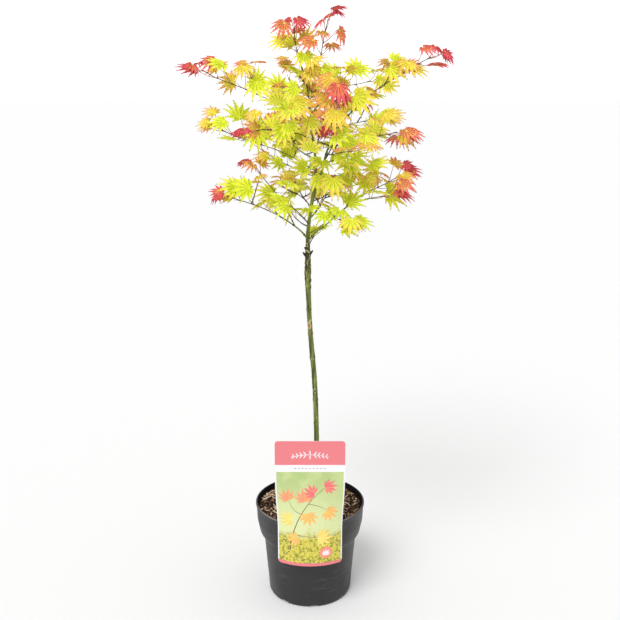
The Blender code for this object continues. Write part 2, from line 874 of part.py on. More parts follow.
def take_spray(space, stem, foot, leaves):
    """Mark a finished spray's shapes as taken."""
    space.add(tube(stem, [(TWIG_FOOT + 0.3) * MM] * len(stem), TWIG_SIDES, foot))
    for leaf in leaves:
        space.add(blade(leaf))
        space.add(stalk(leaf))


def limb_space(courses, feet):
    """The trunk, leaders and boughs, as taken space."""
    space = Space()
    for name, (points, radii) in courses.items():
        space.add(tube(points, [radius + GAP for radius in radii], LIMB_SIDES, feet[name]))
    return space


def later_stems(courses, done):
    """The stems of the sprays that are still to grow, as taken space."""
    space = Space()
    for name, spray in SPRAYS.items():
        if name not in done:
            stem, foot = stem_of(courses, spray)
            space.add(tube(stem, [(TWIG_FOOT + 0.3) * MM] * len(stem), TWIG_SIDES, foot))
    return space


def leaf_look(tint):
    return "lime" if tint < 0.33 else "amber" if tint < 0.68 else "red"


def make_limbs(collection, courses, feet):
    for name, (points, radii) in courses.items():
        sides = TRUNK_SIDES if name == "trunk" else LIMB_SIDES
        limb = mesh_object(name, tube(points, radii, sides, feet[name]), collection, "bark")
        if name == "trunk":
            helpers = new_collection("stub_helpers", True)
            for side, height in STUBS:
                share = (height - TRUNK[0][2]) / (TRUNK[-1][2] - TRUNK[0][2])
                root, ahead, radius = along((points, radii), share)
                out = Vector((side * 0.7, -0.15, 0.7)).normalized()
                stub = tube([root, root + out * STUB_LENGTH * MM], [STUB_RADIUS * MM] * 2, LIMB_SIDES)
                mesh_object(f"stub_{height:.0f}", stub, helpers, "bark")
            join_collection(limb, helpers)


def make_sprays(collection, courses, feet):
    grown = limb_space(courses, feet)
    done = set()
    for name, spray in SPRAYS.items():
        done.add(name)
        stem, foot, leaves = grow_spray(courses, spray, (grown, later_stems(courses, done)))
        take_spray(grown, stem, foot, leaves)
        tint = sum(leaf["tint"] for leaf in leaves) / len(leaves)
        made = mesh_object(name, stem_shape(stem, foot), collection, leaf_look(tint))
        helpers = new_collection(f"{name}_helpers", True)
        for index, leaf in enumerate(leaves):
            mesh_object(f"{name}_leaf_{index}", leaf_solid(leaf), helpers, leaf_look(tint))
        join_collection(made, helpers)


def main():
    clear_scene()
    plant = new_collection("potted_moon_maple")
    cutters = new_collection("cutters", True)
    courses, feet = limb_courses()
    make_pot(plant, cutters)
    make_soil(plant)
    make_card(plant)
    make_limbs(plant, courses, feet)
    make_sprays(plant, courses, feet)


if __name__ == "__main__":
    main()
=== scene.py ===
"""A young potted moon maple: pot, compost, picture card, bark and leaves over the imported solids.

The frame is loaded first, then each operator makes one group of pieces in the solids' places.
Lengths in the tables are millimetres. The card faces -Y and the pot stands on Z = 0.
"""

import json
import math
import random

import bpy
import numpy as np
from mathutils import Matrix, Vector, noise
from mathutils.bvhtree import BVHTree

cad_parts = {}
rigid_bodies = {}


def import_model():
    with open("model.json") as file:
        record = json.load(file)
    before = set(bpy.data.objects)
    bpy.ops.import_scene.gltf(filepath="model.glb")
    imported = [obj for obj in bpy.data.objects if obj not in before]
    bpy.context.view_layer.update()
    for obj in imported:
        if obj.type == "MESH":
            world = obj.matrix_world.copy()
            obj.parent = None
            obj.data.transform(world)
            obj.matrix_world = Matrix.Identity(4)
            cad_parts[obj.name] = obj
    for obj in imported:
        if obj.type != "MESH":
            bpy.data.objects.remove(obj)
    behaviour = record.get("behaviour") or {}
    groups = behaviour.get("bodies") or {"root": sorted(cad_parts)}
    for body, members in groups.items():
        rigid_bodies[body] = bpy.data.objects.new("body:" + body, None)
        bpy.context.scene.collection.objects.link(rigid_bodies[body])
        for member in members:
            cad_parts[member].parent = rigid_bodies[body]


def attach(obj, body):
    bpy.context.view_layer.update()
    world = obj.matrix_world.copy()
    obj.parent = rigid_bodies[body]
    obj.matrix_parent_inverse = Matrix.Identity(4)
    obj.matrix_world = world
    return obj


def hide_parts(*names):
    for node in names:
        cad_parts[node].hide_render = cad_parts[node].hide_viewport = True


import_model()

bl_info = {
    "name": "Potted moon maple",
    "version": (1, 0, 0),
    "blender": (4, 5, 0),
    "location": "View3D > Sidebar > Maple",
    "description": "A young moon maple in a nursery pot, with compost, card, bark and leaves",
    "category": "Add Mesh",
}

MM = 0.001
GAP = 0.3 * MM
UP = Vector((0.0, 0.0, 1.0))
EVEN = (1.0, 1.0, 1.0)

# The pot's outer side from the rim down, as (radius, height).
POT_OUTER = (
    (93.9, 169.0), (95.2, 167.6), (95.2, 164.6), (93.9, 162.8),
    (92.7, 138.0), (88.4, 117.0), (86.6, 113.0), (81.8, 109.0),
    (80.6, 103.0), (78.2, 74.0), (74.5, 30.0), (72.6, 4.5),
    (70.2, 0.0),
)
POT_WALL = 1.6
POT_FLOOR = 2.6
POT_INNER_HEIGHTS = (30.0, 109.0, 117.0, 138.0, 162.8)
POT_STEPS = 144
POT_ROUNDING = 1.0

# The drain notches round its foot. The drawn ones are cut a little higher, by their wear.
NOTCHES = 8
NOTCH_RADIUS = 12.0
NOTCH_DEPTH = 4.0
NOTCH_INNER = 57.0
NOTCH_WEAR = 1.3
NOTCH_PAST = 12.0
FIRST_NOTCH = -84.0

# The compost, and the share of its dark, brown, tan and straw chips.
SOIL_TOP = 161.0
SOIL_RINGS = 46
SOIL_STEPS = 120
SOIL_DEPTH = 12.0
CHIP_TONES = ("damp", "dark", "brown", "tan", "straw")
CHIP_SHARES = (0.42, 0.28, 0.17, 0.13)

# Chips and slivers: length as a share of a middling chip's, width and lift as shares of length.
CHIP_LENGTH = (0.35, 1.0)
CHIP_WIDTH = (0.22, 0.5)
CHIP_LIFT = (0.02, 0.14)
SLIVER_LENGTH = (1.7, 3.1)
SLIVER_WIDTH = (0.08, 0.14)
SLIVER_LIFT = 2.2
STEM_ROOM = 7.0

# The card, from its outline to the strip that holds it.
CARD_HALF = 57.2
CARD_FOOT = 94.5
CARD_TOP = 321.0
CARD_THICK = 0.8
CARD_CORNER = 5.0
CORNER_STEPS = (0.4, 1.2, 2.4)
CARD_BEND = 96.0
CARD_BENT_BELOW = 154.0
CARD_FLAT_ABOVE = 274.0
CARD_COLUMNS = 28
CARD_ROWS = 64
STRIP_HALF = 14.0
STRIP_TOP = 266.0
STRIP_FOOT = 163.5
STRIP_RADIUS = 90.6
STRIP_STRAIGHT_TO = 172.0
PRINT_LIFT = 0.12
PRINT_STEPS = 8
LINE_SINK = 0.04

# The trunk from its cut on the soil to the fork, as (x, y, z, radius).
TRUNK = (
    (12.9, 0.0, 161.4, 6.8), (12.8, 0.0, 166.0, 5.5), (12.5, 0.0, 176.0, 4.8),
    (11.9, 0.0, 219.0, 4.5), (11.4, 0.0, 281.0, 4.4), (9.4, 0.0, 355.0, 4.3),
    (6.4, 0.0, 409.0, 4.2), (4.2, 0.0, 432.0, 4.5), (1.7, 0.0, 462.0, 4.1),
    (-1.2, 0.0, 506.0, 4.1), (-2.1, 0.0, 531.0, 4.2), (-3.3, 0.0, 558.0, 4.5),
    (-3.8, 0.0, 576.0, 5.5), (-3.6, 0.0, 592.0, 5.1), (-3.4, 0.0, 608.0, 4.5),
    (-3.5, 0.0, 621.0, 3.7), (-3.2, 0.0, 645.0, 3.1), (0.0, 0.0, 674.0, 3.1),
    (4.8, 0.0, 703.0, 3.0), (9.2, 0.0, 720.0, 3.0),
)
STUBS = ((-1, 602.0), (1, 605.0))
STUB_RADIUS = 1.7
STEM_NODES = (
    192.0, 230.0, 266.0, 314.0, 356.0, 397.0, 432.0, 474.0, 516.0, 557.0, 645.0, 680.0, 711.0,
)

# Each limb: what it leaves, how far along that, its radius at foot and tip, its course.
LIMBS = {
    "leader_left": ("trunk", 1.0, 2.6, 0.9,
        ((8, 8, 768), (5, 10, 787), (2, 15, 825), (-4, 20, 872), (-9, 22, 891))),
    "leader_right": ("leader_left", 0.04, 2.0, 0.9,
        ((19, -6, 744), (28, -15, 779), (50, -25, 821), (79, -32, 850))),
    "low_left": ("trunk", 0.842, 1.4, 0.7,
        ((-14, -6, 647), (-32, -11, 662), (-50, -15, 674), (-73, -20, 686))),
    "low_left_upper": ("low_left", 0.3, 0.8, 0.6, ((-46, -2, 697), (-75, 5, 732))),
    "low_right": ("trunk", 0.837, 1.4, 0.7,
        ((10, -6, 646), (25, -10, 658), (48, -15, 680), (73, -20, 700))),
    "low_right_lower": ("low_right", 0.8, 0.8, 0.6, ((62, -45, 700), (83, -58, 706))),
    "low_front": ("trunk", 0.859, 0.9, 0.6, ((14, -25, 656), (24, -45, 669), (32, -60, 680))),
    "mid_left_thin": ("leader_left", 0.08, 0.8, 0.6, ((-7, 8, 739), (-18, 14, 744))),
    "mid_left": ("leader_left", 0.14, 1.1, 0.6, ((-12, 0, 755), (-23, -3, 763), (-49, -8, 776))),
    "mid_front": ("leader_right", 0.42, 1.0, 0.6, ((9, -34, 793), (-6, -46, 800), (-22, -60, 806))),
    "mid_right": ("leader_right", 0.40, 1.0, 0.6, ((40, -24, 784), (54, -30, 790), (75, -38, 795))),
    "fork_right": ("leader_right", 0.07, 1.0, 0.6,
        ((19, -10, 730), (30, -22, 737), (42, -36, 740))),
    "centre_front": ("leader_right", 0.58, 1.0, 0.6, ((40, -56, 820), (39, -88, 838))),
    "up_left": ("leader_left", 0.52, 1.1, 0.7, ((-11, 10, 826), (-23, 7, 834), (-41, 4, 842))),
    "top_right": ("leader_left", 0.82, 1.0, 0.7, ((2, 14, 884), (9, 8, 902))),
    "back_right": ("leader_left", 0.64, 1.1, 0.7, ((19, 50, 851), (43, 90, 866))),
    "back_mid": ("leader_left", 0.36, 1.1, 0.7, ((20, 50, 797), (51, 100, 807))),
    "back_low": ("trunk", 0.903, 1.2, 0.7, ((15, 50, 677), (27, 95, 691))),
    "back_left": ("trunk", 0.934, 1.1, 0.7, ((-8, 40, 692), (-24, 90, 697))),
    "back_mid_left": ("leader_left", 0.24, 1.1, 0.7, ((-13, 50, 769), (-34, 100, 781))),
    "back_up": ("leader_left", 0.69, 1.0, 0.7, ((-8, 50, 848), (-17, 95, 858))),
    "front_left": ("leader_left", 0.44, 1.0, 0.7, ((0, -30, 809), (-12, -70, 823))),
    "front_right": ("leader_right", 0.33, 0.9, 0.6, ((32, -60, 774), (44, -100, 780))),
}

# Each spray: the limb, how far along it, leaf length, tint at foot and tip, a seed for each
# pair of leaves, and the stem's course. Tint runs from 0, lime green, to 1, red.
SPRAYS = {
    "up_left_spray": ("up_left", 1.0, 31, 0.05, 1.0, (1144, 941, 500, 549, 317),
        ((-63, 2, 854), (-78, 0, 860), (-101, -2, 870),
         (-124, -4, 879), (-147, -6, 888), (-165, -8, 898))),
    "up_right_spray": ("leader_right", 1.0, 31, 0.25, 1.0, (1553, 1217, 926, 641, 4),
        ((97, -33, 866), (116, -34, 879), (138, -34, 892), (159, -33, 905), (182, -32, 917))),
    "top_left_spray": ("leader_left", 1.0, 28, 0.35, 1.0, (509, 463, 314, 1366),
        ((-15, 22, 909), (-18, 20, 920), (-23, 16, 940), (-25, 12, 961))),
    "top_right_spray": ("top_right", 1.0, 27, 0.5, 1.0, (1125, 1150, 1100, 1237),
        ((13, 6, 910), (17, 4, 922), (22, 0, 950), (28, -4, 974))),
    "mid_left_spray": ("mid_left", 1.0, 33, 0.05, 0.4, (1144, 1762, 1436, 298),
        ((-78, -11, 786), (-102, -14, 794), (-121, -17, 801), (-138, -20, 809))),
    "low_left_spray": ("low_left", 1.0, 31, 0.1, 0.75, (827, 722, 1764),
        ((-98, -24, 696), (-116, -28, 702), (-129, -30, 707))),
    "low_left_red_spray": ("low_left_upper", 1.0, 23, 0.6, 0.95, (1694, 1410),
        ((-83, 6, 744), (-93, 8, 752))),
    "mid_front_spray": ("mid_front", 1.0, 29, 0.2, 1.0, (1242, 558, 703),
        ((-45, -70, 809), (-65, -80, 813), (-80, -88, 811))),
    "mid_right_spray": ("mid_right", 1.0, 32, 0.12, 1.0, (1253, 1605, 1688, 1263),
        ((93, -42, 799), (114, -46, 803), (132, -50, 807))),
    "low_right_spray": ("low_right", 1.0, 29, 0.05, 1.0, (646, 635, 1792, 493),
        ((96, -24, 715), (118, -27, 726), (138, -29, 738))),
    "low_right_lower_spray": ("low_right_lower", 1.0, 33, 0.2, 0.9, (1337, 1090),
        ((98, -62, 709), (113, -66, 712))),
    "centre_front_spray": ("centre_front", 1.0, 34, 0.5, 1.0, (1152, 331, 403),
        ((39, -112, 850), (38, -134, 861))),
    "low_front_spray": ("low_front", 1.0, 32, 0.0, 0.15, (1346, 1175, 98),
        ((43, -76, 678), (55, -90, 677))),
    "mid_left_thin_spray": ("mid_left_thin", 1.0, 28, 0.05, 0.6, (179, 961, 1319),
        ((-32, 22, 749), (-56, 30, 760), (-78, 42, 773))),
    "right_star_spray": ("leader_right", 0.5, 24, 0.8, 0.85, (133,), ((33, -62, 802),)),
    "right_top_spray": ("back_right", 1.0, 32, 0.05, 0.25, (352, 1399, 1421),
        ((61, 112, 874), (81, 124, 877), (102, 132, 882))),
    "up_front_spray": ("leader_left", 0.93, 32, 0.0, 0.5, (1182, 791),
        ((-2, -16, 893), (3, -42, 898))),
    "up_back_spray": ("leader_left", 0.89, 29, 0.25, 0.45, (1525, 1070),
        ((-19, 48, 893), (-32, 66, 901))),
    "back_mid_spray": ("back_mid", 1.0, 32, 0.05, 0.4, (460, 963, 1448),
        ((79, 120, 813), (103, 130, 817), (121, 134, 819))),
    "fork_right_spray": ("fork_right", 1.0, 34, 0.0, 0.2, (752, 153, 1467),
        ((55, -50, 741), (70, -62, 741))),
    "short_right_spray": ("leader_right", 0.2, 33, 0.0, 0.1, (335, 1112),
        ((32, -46, 763), (41, -72, 767))),
    "centre_low_spray": ("leader_left", 0.18, 33, 0.1, 0.2, (1286, 550),
        ((4, -40, 752), (1, -85, 755))),
    "low_left_inner_spray": ("trunk", 0.888, 32, 0.0, 0.12, (1364, 1308),
        ((-16, -36, 680), (-29, -62, 696))),
    "trunk_spray": ("trunk", 0.822, 24, 0.0, 0.1, (1188,), ((7, 18, 636),)),
    "front_left_spray": ("front_left", 1.0, 33, 0.1, 0.3, (894, 1545, 1305),
        ((-22, -100, 830), (-31, -130, 837))),
    "front_right_spray": ("front_right", 1.0, 32, 0.05, 0.5, (944, 647, 999),
        ((53, -130, 784), (59, -160, 787))),
    "back_low_spray": ("back_low", 1.0, 32, 0.1, 0.8, (761, 47, 504),
        ((42, 130, 701), (54, 165, 704))),
    "back_left_spray": ("back_left", 1.0, 32, 0.05, 0.7, (262, 600, 1500),
        ((-37, 130, 697), (-45, 165, 697))),
    "back_mid_left_spray": ("back_mid_left", 1.0, 32, 0.1, 0.8, (112, 1089, 1418),
        ((-52, 138, 786), (-67, 172, 790))),
    "back_up_spray": ("back_up", 1.0, 31, 0.15, 0.9, (105, 388, 444),
        ((-24, 130, 862), (-31, 165, 865))),
}

# The finer shoots that only show here, by the limb or spray that carries them: how far along it,
# bearing and rise in degrees, length, leaf length, tint, and a seed for each pair of leaves.
SHOOTS = {
    "back_low": (
        (0.3, 30, 55, 26, 27, 0.1, (1240,)), (0.62, 150, 55, 30, 27, 0.18, (1807, 575)),
        (0.92, 30, 15, 30, 26, 0.35, (1088, 22)),
    ),
    "back_left": (
        (0.32, 180, 55, 26, 27, 0.08, (391,)), (0.6, 50, 15, 30, 27, 0.15, (456, 1075)),
        (0.9, 150, 15, 30, 26, 0.3, (1916, 760)),
    ),
    "back_mid": (
        (0.3, 140, 55, 26, 27, 0.1, (223,)), (0.62, 330, 55, 30, 27, 0.15, (781, 1766)),
        (0.92, 100, 15, 30, 26, 0.35, (1729, 1726)),
    ),
    "back_mid_left": (
        (0.3, 30, 15, 26, 27, 0.08, (1310,)), (0.6, 210, 55, 30, 27, 0.12, (1357, 1675)),
        (0.92, 50, 35, 30, 26, 0.3, (1225, 1993)),
    ),
    "back_right": ((0.35, 190, 55, 26, 26, 0.12, (187,)), (0.8, 0, 55, 30, 26, 0.3, (619, 72))),
    "back_up": ((0.4, 330, 15, 26, 26, 0.12, (46,)), (0.85, 170, 15, 30, 26, 0.35, (1592, 486))),
    "leader_left": (
        (0.3, 60, 55, 28, 26, 0.1, (1085,)), (0.58, 0, 55, 28, 26, 0.15, (1730,)),
        (0.78, 70, 15, 26, 24, 0.3, (374,)),
    ),
    "leader_right": (
        (0.25, 30, 55, 28, 26, 0.1, (992,)), (0.52, 90, 35, 28, 26, 0.15, (843,)),
        (0.8, 60, 35, 26, 25, 0.25, (64,)),
    ),
    "trunk": ((0.955, 20, 15, 28, 26, 0.08, (1359,)), (0.88, 140, 15, 28, 26, 0.1, (1529,))),
    "low_left": ((0.55, 130, 15, 26, 26, 0.1, (1275,)),),
    "low_right": ((0.55, 110, 15, 26, 26, 0.1, (1254,)),),
    "mid_left": ((0.6, 80, 15, 26, 26, 0.12, (1156,)),),
    "mid_right": ((0.55, 40, 15, 26, 26, 0.12, (21,)),),
    "up_left": ((0.6, 110, 15, 26, 26, 0.15, (1695,)),),
    "centre_front": ((0.45, 200, 15, 26, 26, 0.25, (1759,)),),
    "front_left": ((0.55, 150, 55, 26, 26, 0.15, (243,)),),
    "front_right": ((0.55, 30, 55, 26, 26, 0.15, (387,)),),
    "back_mid_spray": ((0.45, 330, 55, 26, 25, 0.45, (1957,)),),
    "back_mid_left_spray": ((0.45, 150, 55, 26, 25, 0.4, (1144,)),),
    "back_up_spray": ((0.45, 150, 55, 26, 25, 0.45, (1389,)),),
    "up_right_spray": ((0.35, 60, 35, 26, 25, 0.4, (200,)),),
    "up_left_spray": ((0.35, 120, 55, 26, 25, 0.4, (1490,)),),
    "mid_left_spray": ((0.35, 60, 15, 26, 25, 0.3, (426,)),),
    "low_left_spray": ((0.35, 60, 55, 26, 25, 0.3, (972,)),),
    "low_right_spray": ((0.35, 60, 15, 26, 25, 0.3, (936,)),),
    "mid_right_spray": ((0.35, 90, 15, 26, 25, 0.35, (596,)),),
}
SHOOT_LIGHT = 0.6
SHOOT_TURN = 0.2

# Sprays that turn less or more than their growth gives.
TURNING = {
    "centre_front_spray": -0.2, "mid_right_spray": 0.2, "top_right_spray": 0.08,
    "low_front_spray": -0.1, "mid_left_spray": -0.06,
}

# Growth of the twigs and leaves, as in the solids. First the twigs and stalks, the pairs of
# leaves and the tries that each leaf gets, a spray's reach and the crown's own height.
TWIG_SIDES = 3
TWIG_FOOT = 0.95
TWIG_SPACE = 0.3
STALK_RADIUS = 0.7
STALK_NECK = 2.4
STALK_STEP = 1.7
FIRST_PAIR = 0.3
TRIES = 12
SPRAY_REACH = 72.0
CROWN_TOP = 990.0
CROWN_FOOT = 564.0
LIMB_SIDES = 6
TO_LIGHT = Vector((0.0, -0.55, 0.0))

# How leaves leave their twig: a seed's steps by leaf, their turn, how far they open in degrees
# at the sides and at the tip, the tip's third leaf, and how size and tint run along a spray.
SEED_STEPS = (977, 131)
TURN_CHANCE = 0.35
SIDE_OPENING = (40, 75)
TIP_OPENING = (15, 40)
THIRD_OPENING = 0.4
THIRD_LENGTH = 0.8
TIP_STEP = 0.6
SHORTENING = 0.15
TINT_CURVE = 1.3

# How far chance and tint move a leaf: lift, length, stalk, tint, pull of the light, tilt and
# bearing, then its dip in degrees, its droop and how far it closes.
LEAF_LIFT = (0.05, 0.7)
LEAF_LENGTH = (0.85, 1.2)
STALK_LENGTH = (0.45, 1.15)
TINT_CHANCE = 0.09
LIGHT_PULL = (0.0, 1.4)
TILT_CHANCE = 0.28
BEARING_CHANCE = 0.45
DIP_BY_TINT, DIP_LESS, DIP_CHANCE = 30.0, 4.0, 16.0
DROOP, DROOP_BY_TINT, DROOP_CHANCE = 0.04, 0.34, (-0.08, 0.1)
DROOP_CURVE = 1.6
CLOSING = 0.22

# Marks on the stem: height, bearing, (along, across, out), tilt in degrees, and the looks of
# the rim and the hollow: 0 stem bark, 2 node, 3 cork, 4 peeled wood, 5 crack. Bearings are from
# +X, so -90 faces the front.
SCARS = (
    (624.5, -116, (7.5, 3.4, 0.9), 12, (3, 2)),
    (614.0, -92, (11.0, 2.4, 0.8), 52, (3, 3)),
    (600.5, -70, (10.0, 2.2, 0.7), -34, (3, 2)),
    (594.0, -98, (8.0, 2.0, 0.7), 30, (5, 3)),
    (580.0, -42, (9.0, 3.6, 1.3), 0, (0, 5)),
    (566.0, -36, (8.0, 4.0, 1.4), 10, (0, 5)),
    (553.5, -32, (7.0, 3.4, 1.2), -8, (0, 5)),
    (571.0, -140, (14.0, 2.2, 0.5), 4, (5, 5)),
    (546.0, -138, (30.0, 1.9, 0.35), 2, (5, 5)),
    (608.0, -128, (15.0, 2.4, 0.5), 4, (5, 5)),
    (606.0, -60, (9.0, 1.8, 0.4), -12, (5, 3)),
    (631.0, -58, (13.0, 2.0, 0.4), 3, (5, 3)),
    (588.5, -122, (5.0, 4.4, 1.1), 0, (0, 2)),
    (488.5, -116, (12.0, 7.0, 0.8), 8, (3, 4)),
    (430.0, -84, (3.2, 5.6, 0.5), 0, (3, 0)),
    (373.0, -92, (8.5, 4.6, 0.6), 6, (3, 2)),
    (495.5, -84, (7.0, 3.0, 0.6), -24, (3, 3)),
    (324.0, -72, (3.6, 2.4, 0.4), 0, (3, 0)),
    (313.0, -80, (3.0, 2.6, 0.4), 40, (3, 2)),
    (262.0, -100, (4.0, 2.6, 0.4), 0, (3, 0)),
    (548.0, 60, (6.0, 3.6, 0.6), 10, (3, 2)),
    (418.0, 85, (6.0, 3.8, 0.5), 0, (3, 2)),
    (296.0, 120, (5.0, 3.0, 0.5), 0, (3, 0)),
)

# A scar's rings, as (share of its size, share of its lift), from its foot into its hollow.
SCAR_RINGS = ((1.1, -0.6), (1.0, 0.1), (0.84, 1.0), (0.66, 0.95), (0.5, 0.35), (0.3, 0.15))
SCAR_STEPS = 20
RIM_RINGS = 3

# The swelling's height, its reach up and down, and how much rougher its bark is.
GRAFT_HEIGHT = 574.0
GRAFT_REACH = 24.0
GRAFT_RELIEF = 4.5

# The drawn wood: the step between rings, and how much and how widely a node swells.
STEM_STEP = 1.6
STEM_SIDES = 36
STEM_SWELL = (0.16, 1.3)
TWIG_STEP = 1.2
TWIG_SWELL = (0.6, 1.0)

# The drawn limbs: how far apart their nodes stand, how much these swell, the bark's relief as
# a share of the stem's, their sides and their look.
LEADER = (34, 0.3, 0.4, 16, 0)
BOUGH = (25, 0.55, 0.2, 10, 1)
LIMB_FLARE = 1.25

# Cut spurs on the swelling, as (side, height, length), and their outline from foot to end.
SPURS = tuple((*stub, 12.0) for stub in STUBS) + ((-1, 613.0, 8.0), (1, 602.0, 7.0))
SPUR_OUTLINE = (1.7, 1.65, 1.6, 1.5, 1.4, 1.3, 1.25, 1.35, 1.3, 1.15, 1.0, 0.8, 0.6, 0.3)
SPUR_COLLAR = 6

# The solid's plain leaf: the bearing and length of each lobe on one side, and the next notch.
LOBES = ((0, 1.0, 0.56), (31, 0.96, 0.53), (62, 0.85, 0.46), (97, 0.62, 0.2))
LEAF_THICK = 1.3
LEAF_SPACE = 2.6
LEAF_ROOM = 1.05

# The drawn leaf: the bearing and length of each lobe on one side, and how it is cut.
FINE_LOBES = ((0, 1.0), (25, 0.97), (50, 0.88), (77, 0.70), (106, 0.42))
OUTER_NOTCH = (128, 0.13)
NOTCH_SHARE = 0.38
CUT_REACH = 0.42
LOBE_STEPS = 8
LEAF_MARGIN = 0.68
HEART_STEPS = (0.35, 0.7)
TIP_FROM = 0.8
CREASE_SHADE_TO = 0.1
INNER_TO = 0.2
LEAF_COLUMNS = 6
RIB_COLUMN = 2
MARGIN_COLUMNS = (0, LEAF_COLUMNS - 2)

# The zones of a leaf, and its tones from the foot of the crown outward, each a plain look.
# The fold zone is painted shade: darker tones in the creases between the lobes, near the heart.
HEART, INNER, BLADE, EDGE, TIP, VEIN, CREASE_SHADE = range(7)
LEAF_TONES = (
    "deep_lime", "lime", "bright_lime", "yellow", "gold", "amber", "orange", "coral", "red",
    "deep_red", "olive_tip", "brown_tip", "plum_tip", "olive_vein", "ochre_vein", "rose_vein",
    "olive_fold", "ochre_fold", "rose_fold",
)
REDDEST = LEAF_TONES.index("red")
TIP_MARKS = (0.3, 0.62)
VEIN_MARKS = (0.35, 0.66)

# The tints at which a spray's mass is amber, and red.
SLOT_MARKS = (0.33, 0.68)
SLOTS = ("lime", "amber", "red")


def colour(name, description, default):
    """A colour setting."""
    return bpy.props.FloatVectorProperty(
        name=name, description=description, default=default,
        subtype="COLOR", size=3, min=0.0, max=1.0,
    )


def measure(name, description, default):
    """A length setting, its default given in millimetres."""
    return bpy.props.FloatProperty(
        name=name, description=description, default=default * MM, unit="LENGTH", min=0.0,
    )


def portion(name, description, default):
    """A setting from 0 to 1."""
    return bpy.props.FloatProperty(
        name=name, description=description, default=default, subtype="FACTOR", min=0.0, max=1.0,
    )


def amount(name, description, default):
    """A whole number setting."""
    return bpy.props.IntProperty(name=name, description=description, default=default, min=0)


def strength(name, description, default):
    """The strength of a light."""
    return bpy.props.FloatProperty(name=name, description=description, default=default, min=0.0)


def angle(name, description, default):
    """An angle setting, its default given in degrees."""
    return bpy.props.FloatProperty(
        name=name, description=description, default=math.radians(default), subtype="ANGLE"
    )


class PotSettings(bpy.types.PropertyGroup):
    """The nursery pot's plastic."""

    plastic: colour("Plastic", "Dark grey of the moulded plastic", (0.019, 0.0185, 0.0188))
    # Painted shade: the inner side is near black to stand in for the shade inside the pot.
    inside: colour("Inside", "Black of the pot's inner side", (0.004, 0.004, 0.004))
    dust: colour("Dust", "Pale film in the scuffs", (0.105, 0.100, 0.098))
    # Painted highlight: pale grey along the front of the rim, standing in for light on its edge.
    rim_highlight: colour("Worn rim", "Grey of the rim where it is rubbed", (0.270, 0.262, 0.258))
    roughness: portion("Roughness", "How dull the plastic is", 0.42)
    scuffs: portion("Scuffs", "How much the scuffs show", 0.4)


class CompostSettings(bpy.types.PropertyGroup):
    """The bark compost that fills the pot."""

    chips: amount("Chips", "How many bark chips lie on top", 2700)
    chip_length: measure("Chip length", "Length of a middling chip", 6.4)
    heap: measure("Heap", "How uneven the surface is", 2.4)
    # Partly painted shade: the near black between the chips is damp compost darkened for the shade
    # there.
    damp: colour("Damp", "Colour between the chips", (0.008, 0.004, 0.002))
    dark: colour("Dark chips", "Colour of the darkest chips", (0.040, 0.018, 0.007))
    brown: colour("Brown chips", "Colour of most chips", (0.200, 0.098, 0.044))
    tan: colour("Tan chips", "Colour of the dry chips", (0.520, 0.330, 0.175))
    straw: colour("Pale chips", "Colour of the split wood", (0.950, 0.810, 0.600))
    slivers: amount("Slivers", "How many long pale slivers lie on the chips", 90)


class CardSettings(bpy.types.PropertyGroup):
    """The picture card and what is printed on it."""

    header: colour("Header", "Coral pink of the header and foot", (0.715, 0.184, 0.206))
    white: colour("White", "The card's own white", (0.800, 0.785, 0.790))
    sky: colour("Sky", "Soft green behind the leaves, at the top", (0.400, 0.520, 0.190))
    mist: colour("Mist", "Pale green behind the leaves, halfway", (0.640, 0.690, 0.350))
    hedge: colour("Hedge", "Yellow green of the planting at the foot", (0.660, 0.570, 0.075))
    shade: colour("Shade", "Dark green between the planting", (0.200, 0.225, 0.032))
    header_foot: measure("Header's foot", "Height of the header's lower edge", 279.3)
    stripe_foot: measure("Stripe's foot", "Height of the white stripe's lower edge", 267.0)
    band_top: measure("Foot band's top", "Height of the pink band at the foot", 100.0)
    margin: measure("Margin", "White edge beside the picture", 2.2)
    twig: colour("Printed twig", "Brown of the printed shoot", (0.200, 0.075, 0.050))
    coral: colour("Printed coral", "Coral of the printed leaves", (0.860, 0.250, 0.180))
    rose: colour("Printed rose", "Rose of the printed leaves", (0.780, 0.120, 0.150))
    orange: colour("Printed orange", "Orange of the printed leaves", (0.870, 0.380, 0.130))
    amber: colour("Printed amber", "Amber of the printed leaves", (0.880, 0.560, 0.120))
    yellow: colour("Printed yellow", "Yellow of the printed leaves", (0.860, 0.740, 0.200))


class BarkSettings(bpy.types.PropertyGroup):
    """The stem, leaders and boughs."""

    relief: measure("Relief", "Depth of the bark's own relief", 0.28)
    stem: colour("Stem", "Olive green of the lower stem", (0.128, 0.158, 0.024))
    weathered: colour("Weathered", "Grey brown of the older bark", (0.205, 0.185, 0.078))
    graft: colour("Graft", "Olive brown of the grafted swelling", (0.170, 0.165, 0.030))
    scion: colour("Above the graft", "Dark olive just above the swelling", (0.058, 0.060, 0.012))
    young: colour("Young wood", "Green of the stem round the fork", (0.185, 0.240, 0.034))
    bough: colour("Boughs", "Dark olive of the boughs", (0.042, 0.036, 0.011))
    node: colour("Nodes", "Near black of the buds and leaf scars", (0.020, 0.011, 0.009))
    streak: colour("Streaks", "Dark olive of the long streaks", (0.034, 0.038, 0.006))
    sheen: colour("Pale streaks", "Paler green between the streaks", (0.320, 0.400, 0.085))
    rim: colour("Scar rims", "Pale cork round the scars", (0.540, 0.480, 0.240))
    peeled: colour("Peeled", "Red brown where the bark has peeled", (0.300, 0.085, 0.040))
    crack: colour("Cracks", "Black brown of the cracks round the graft", (0.028, 0.024, 0.006))


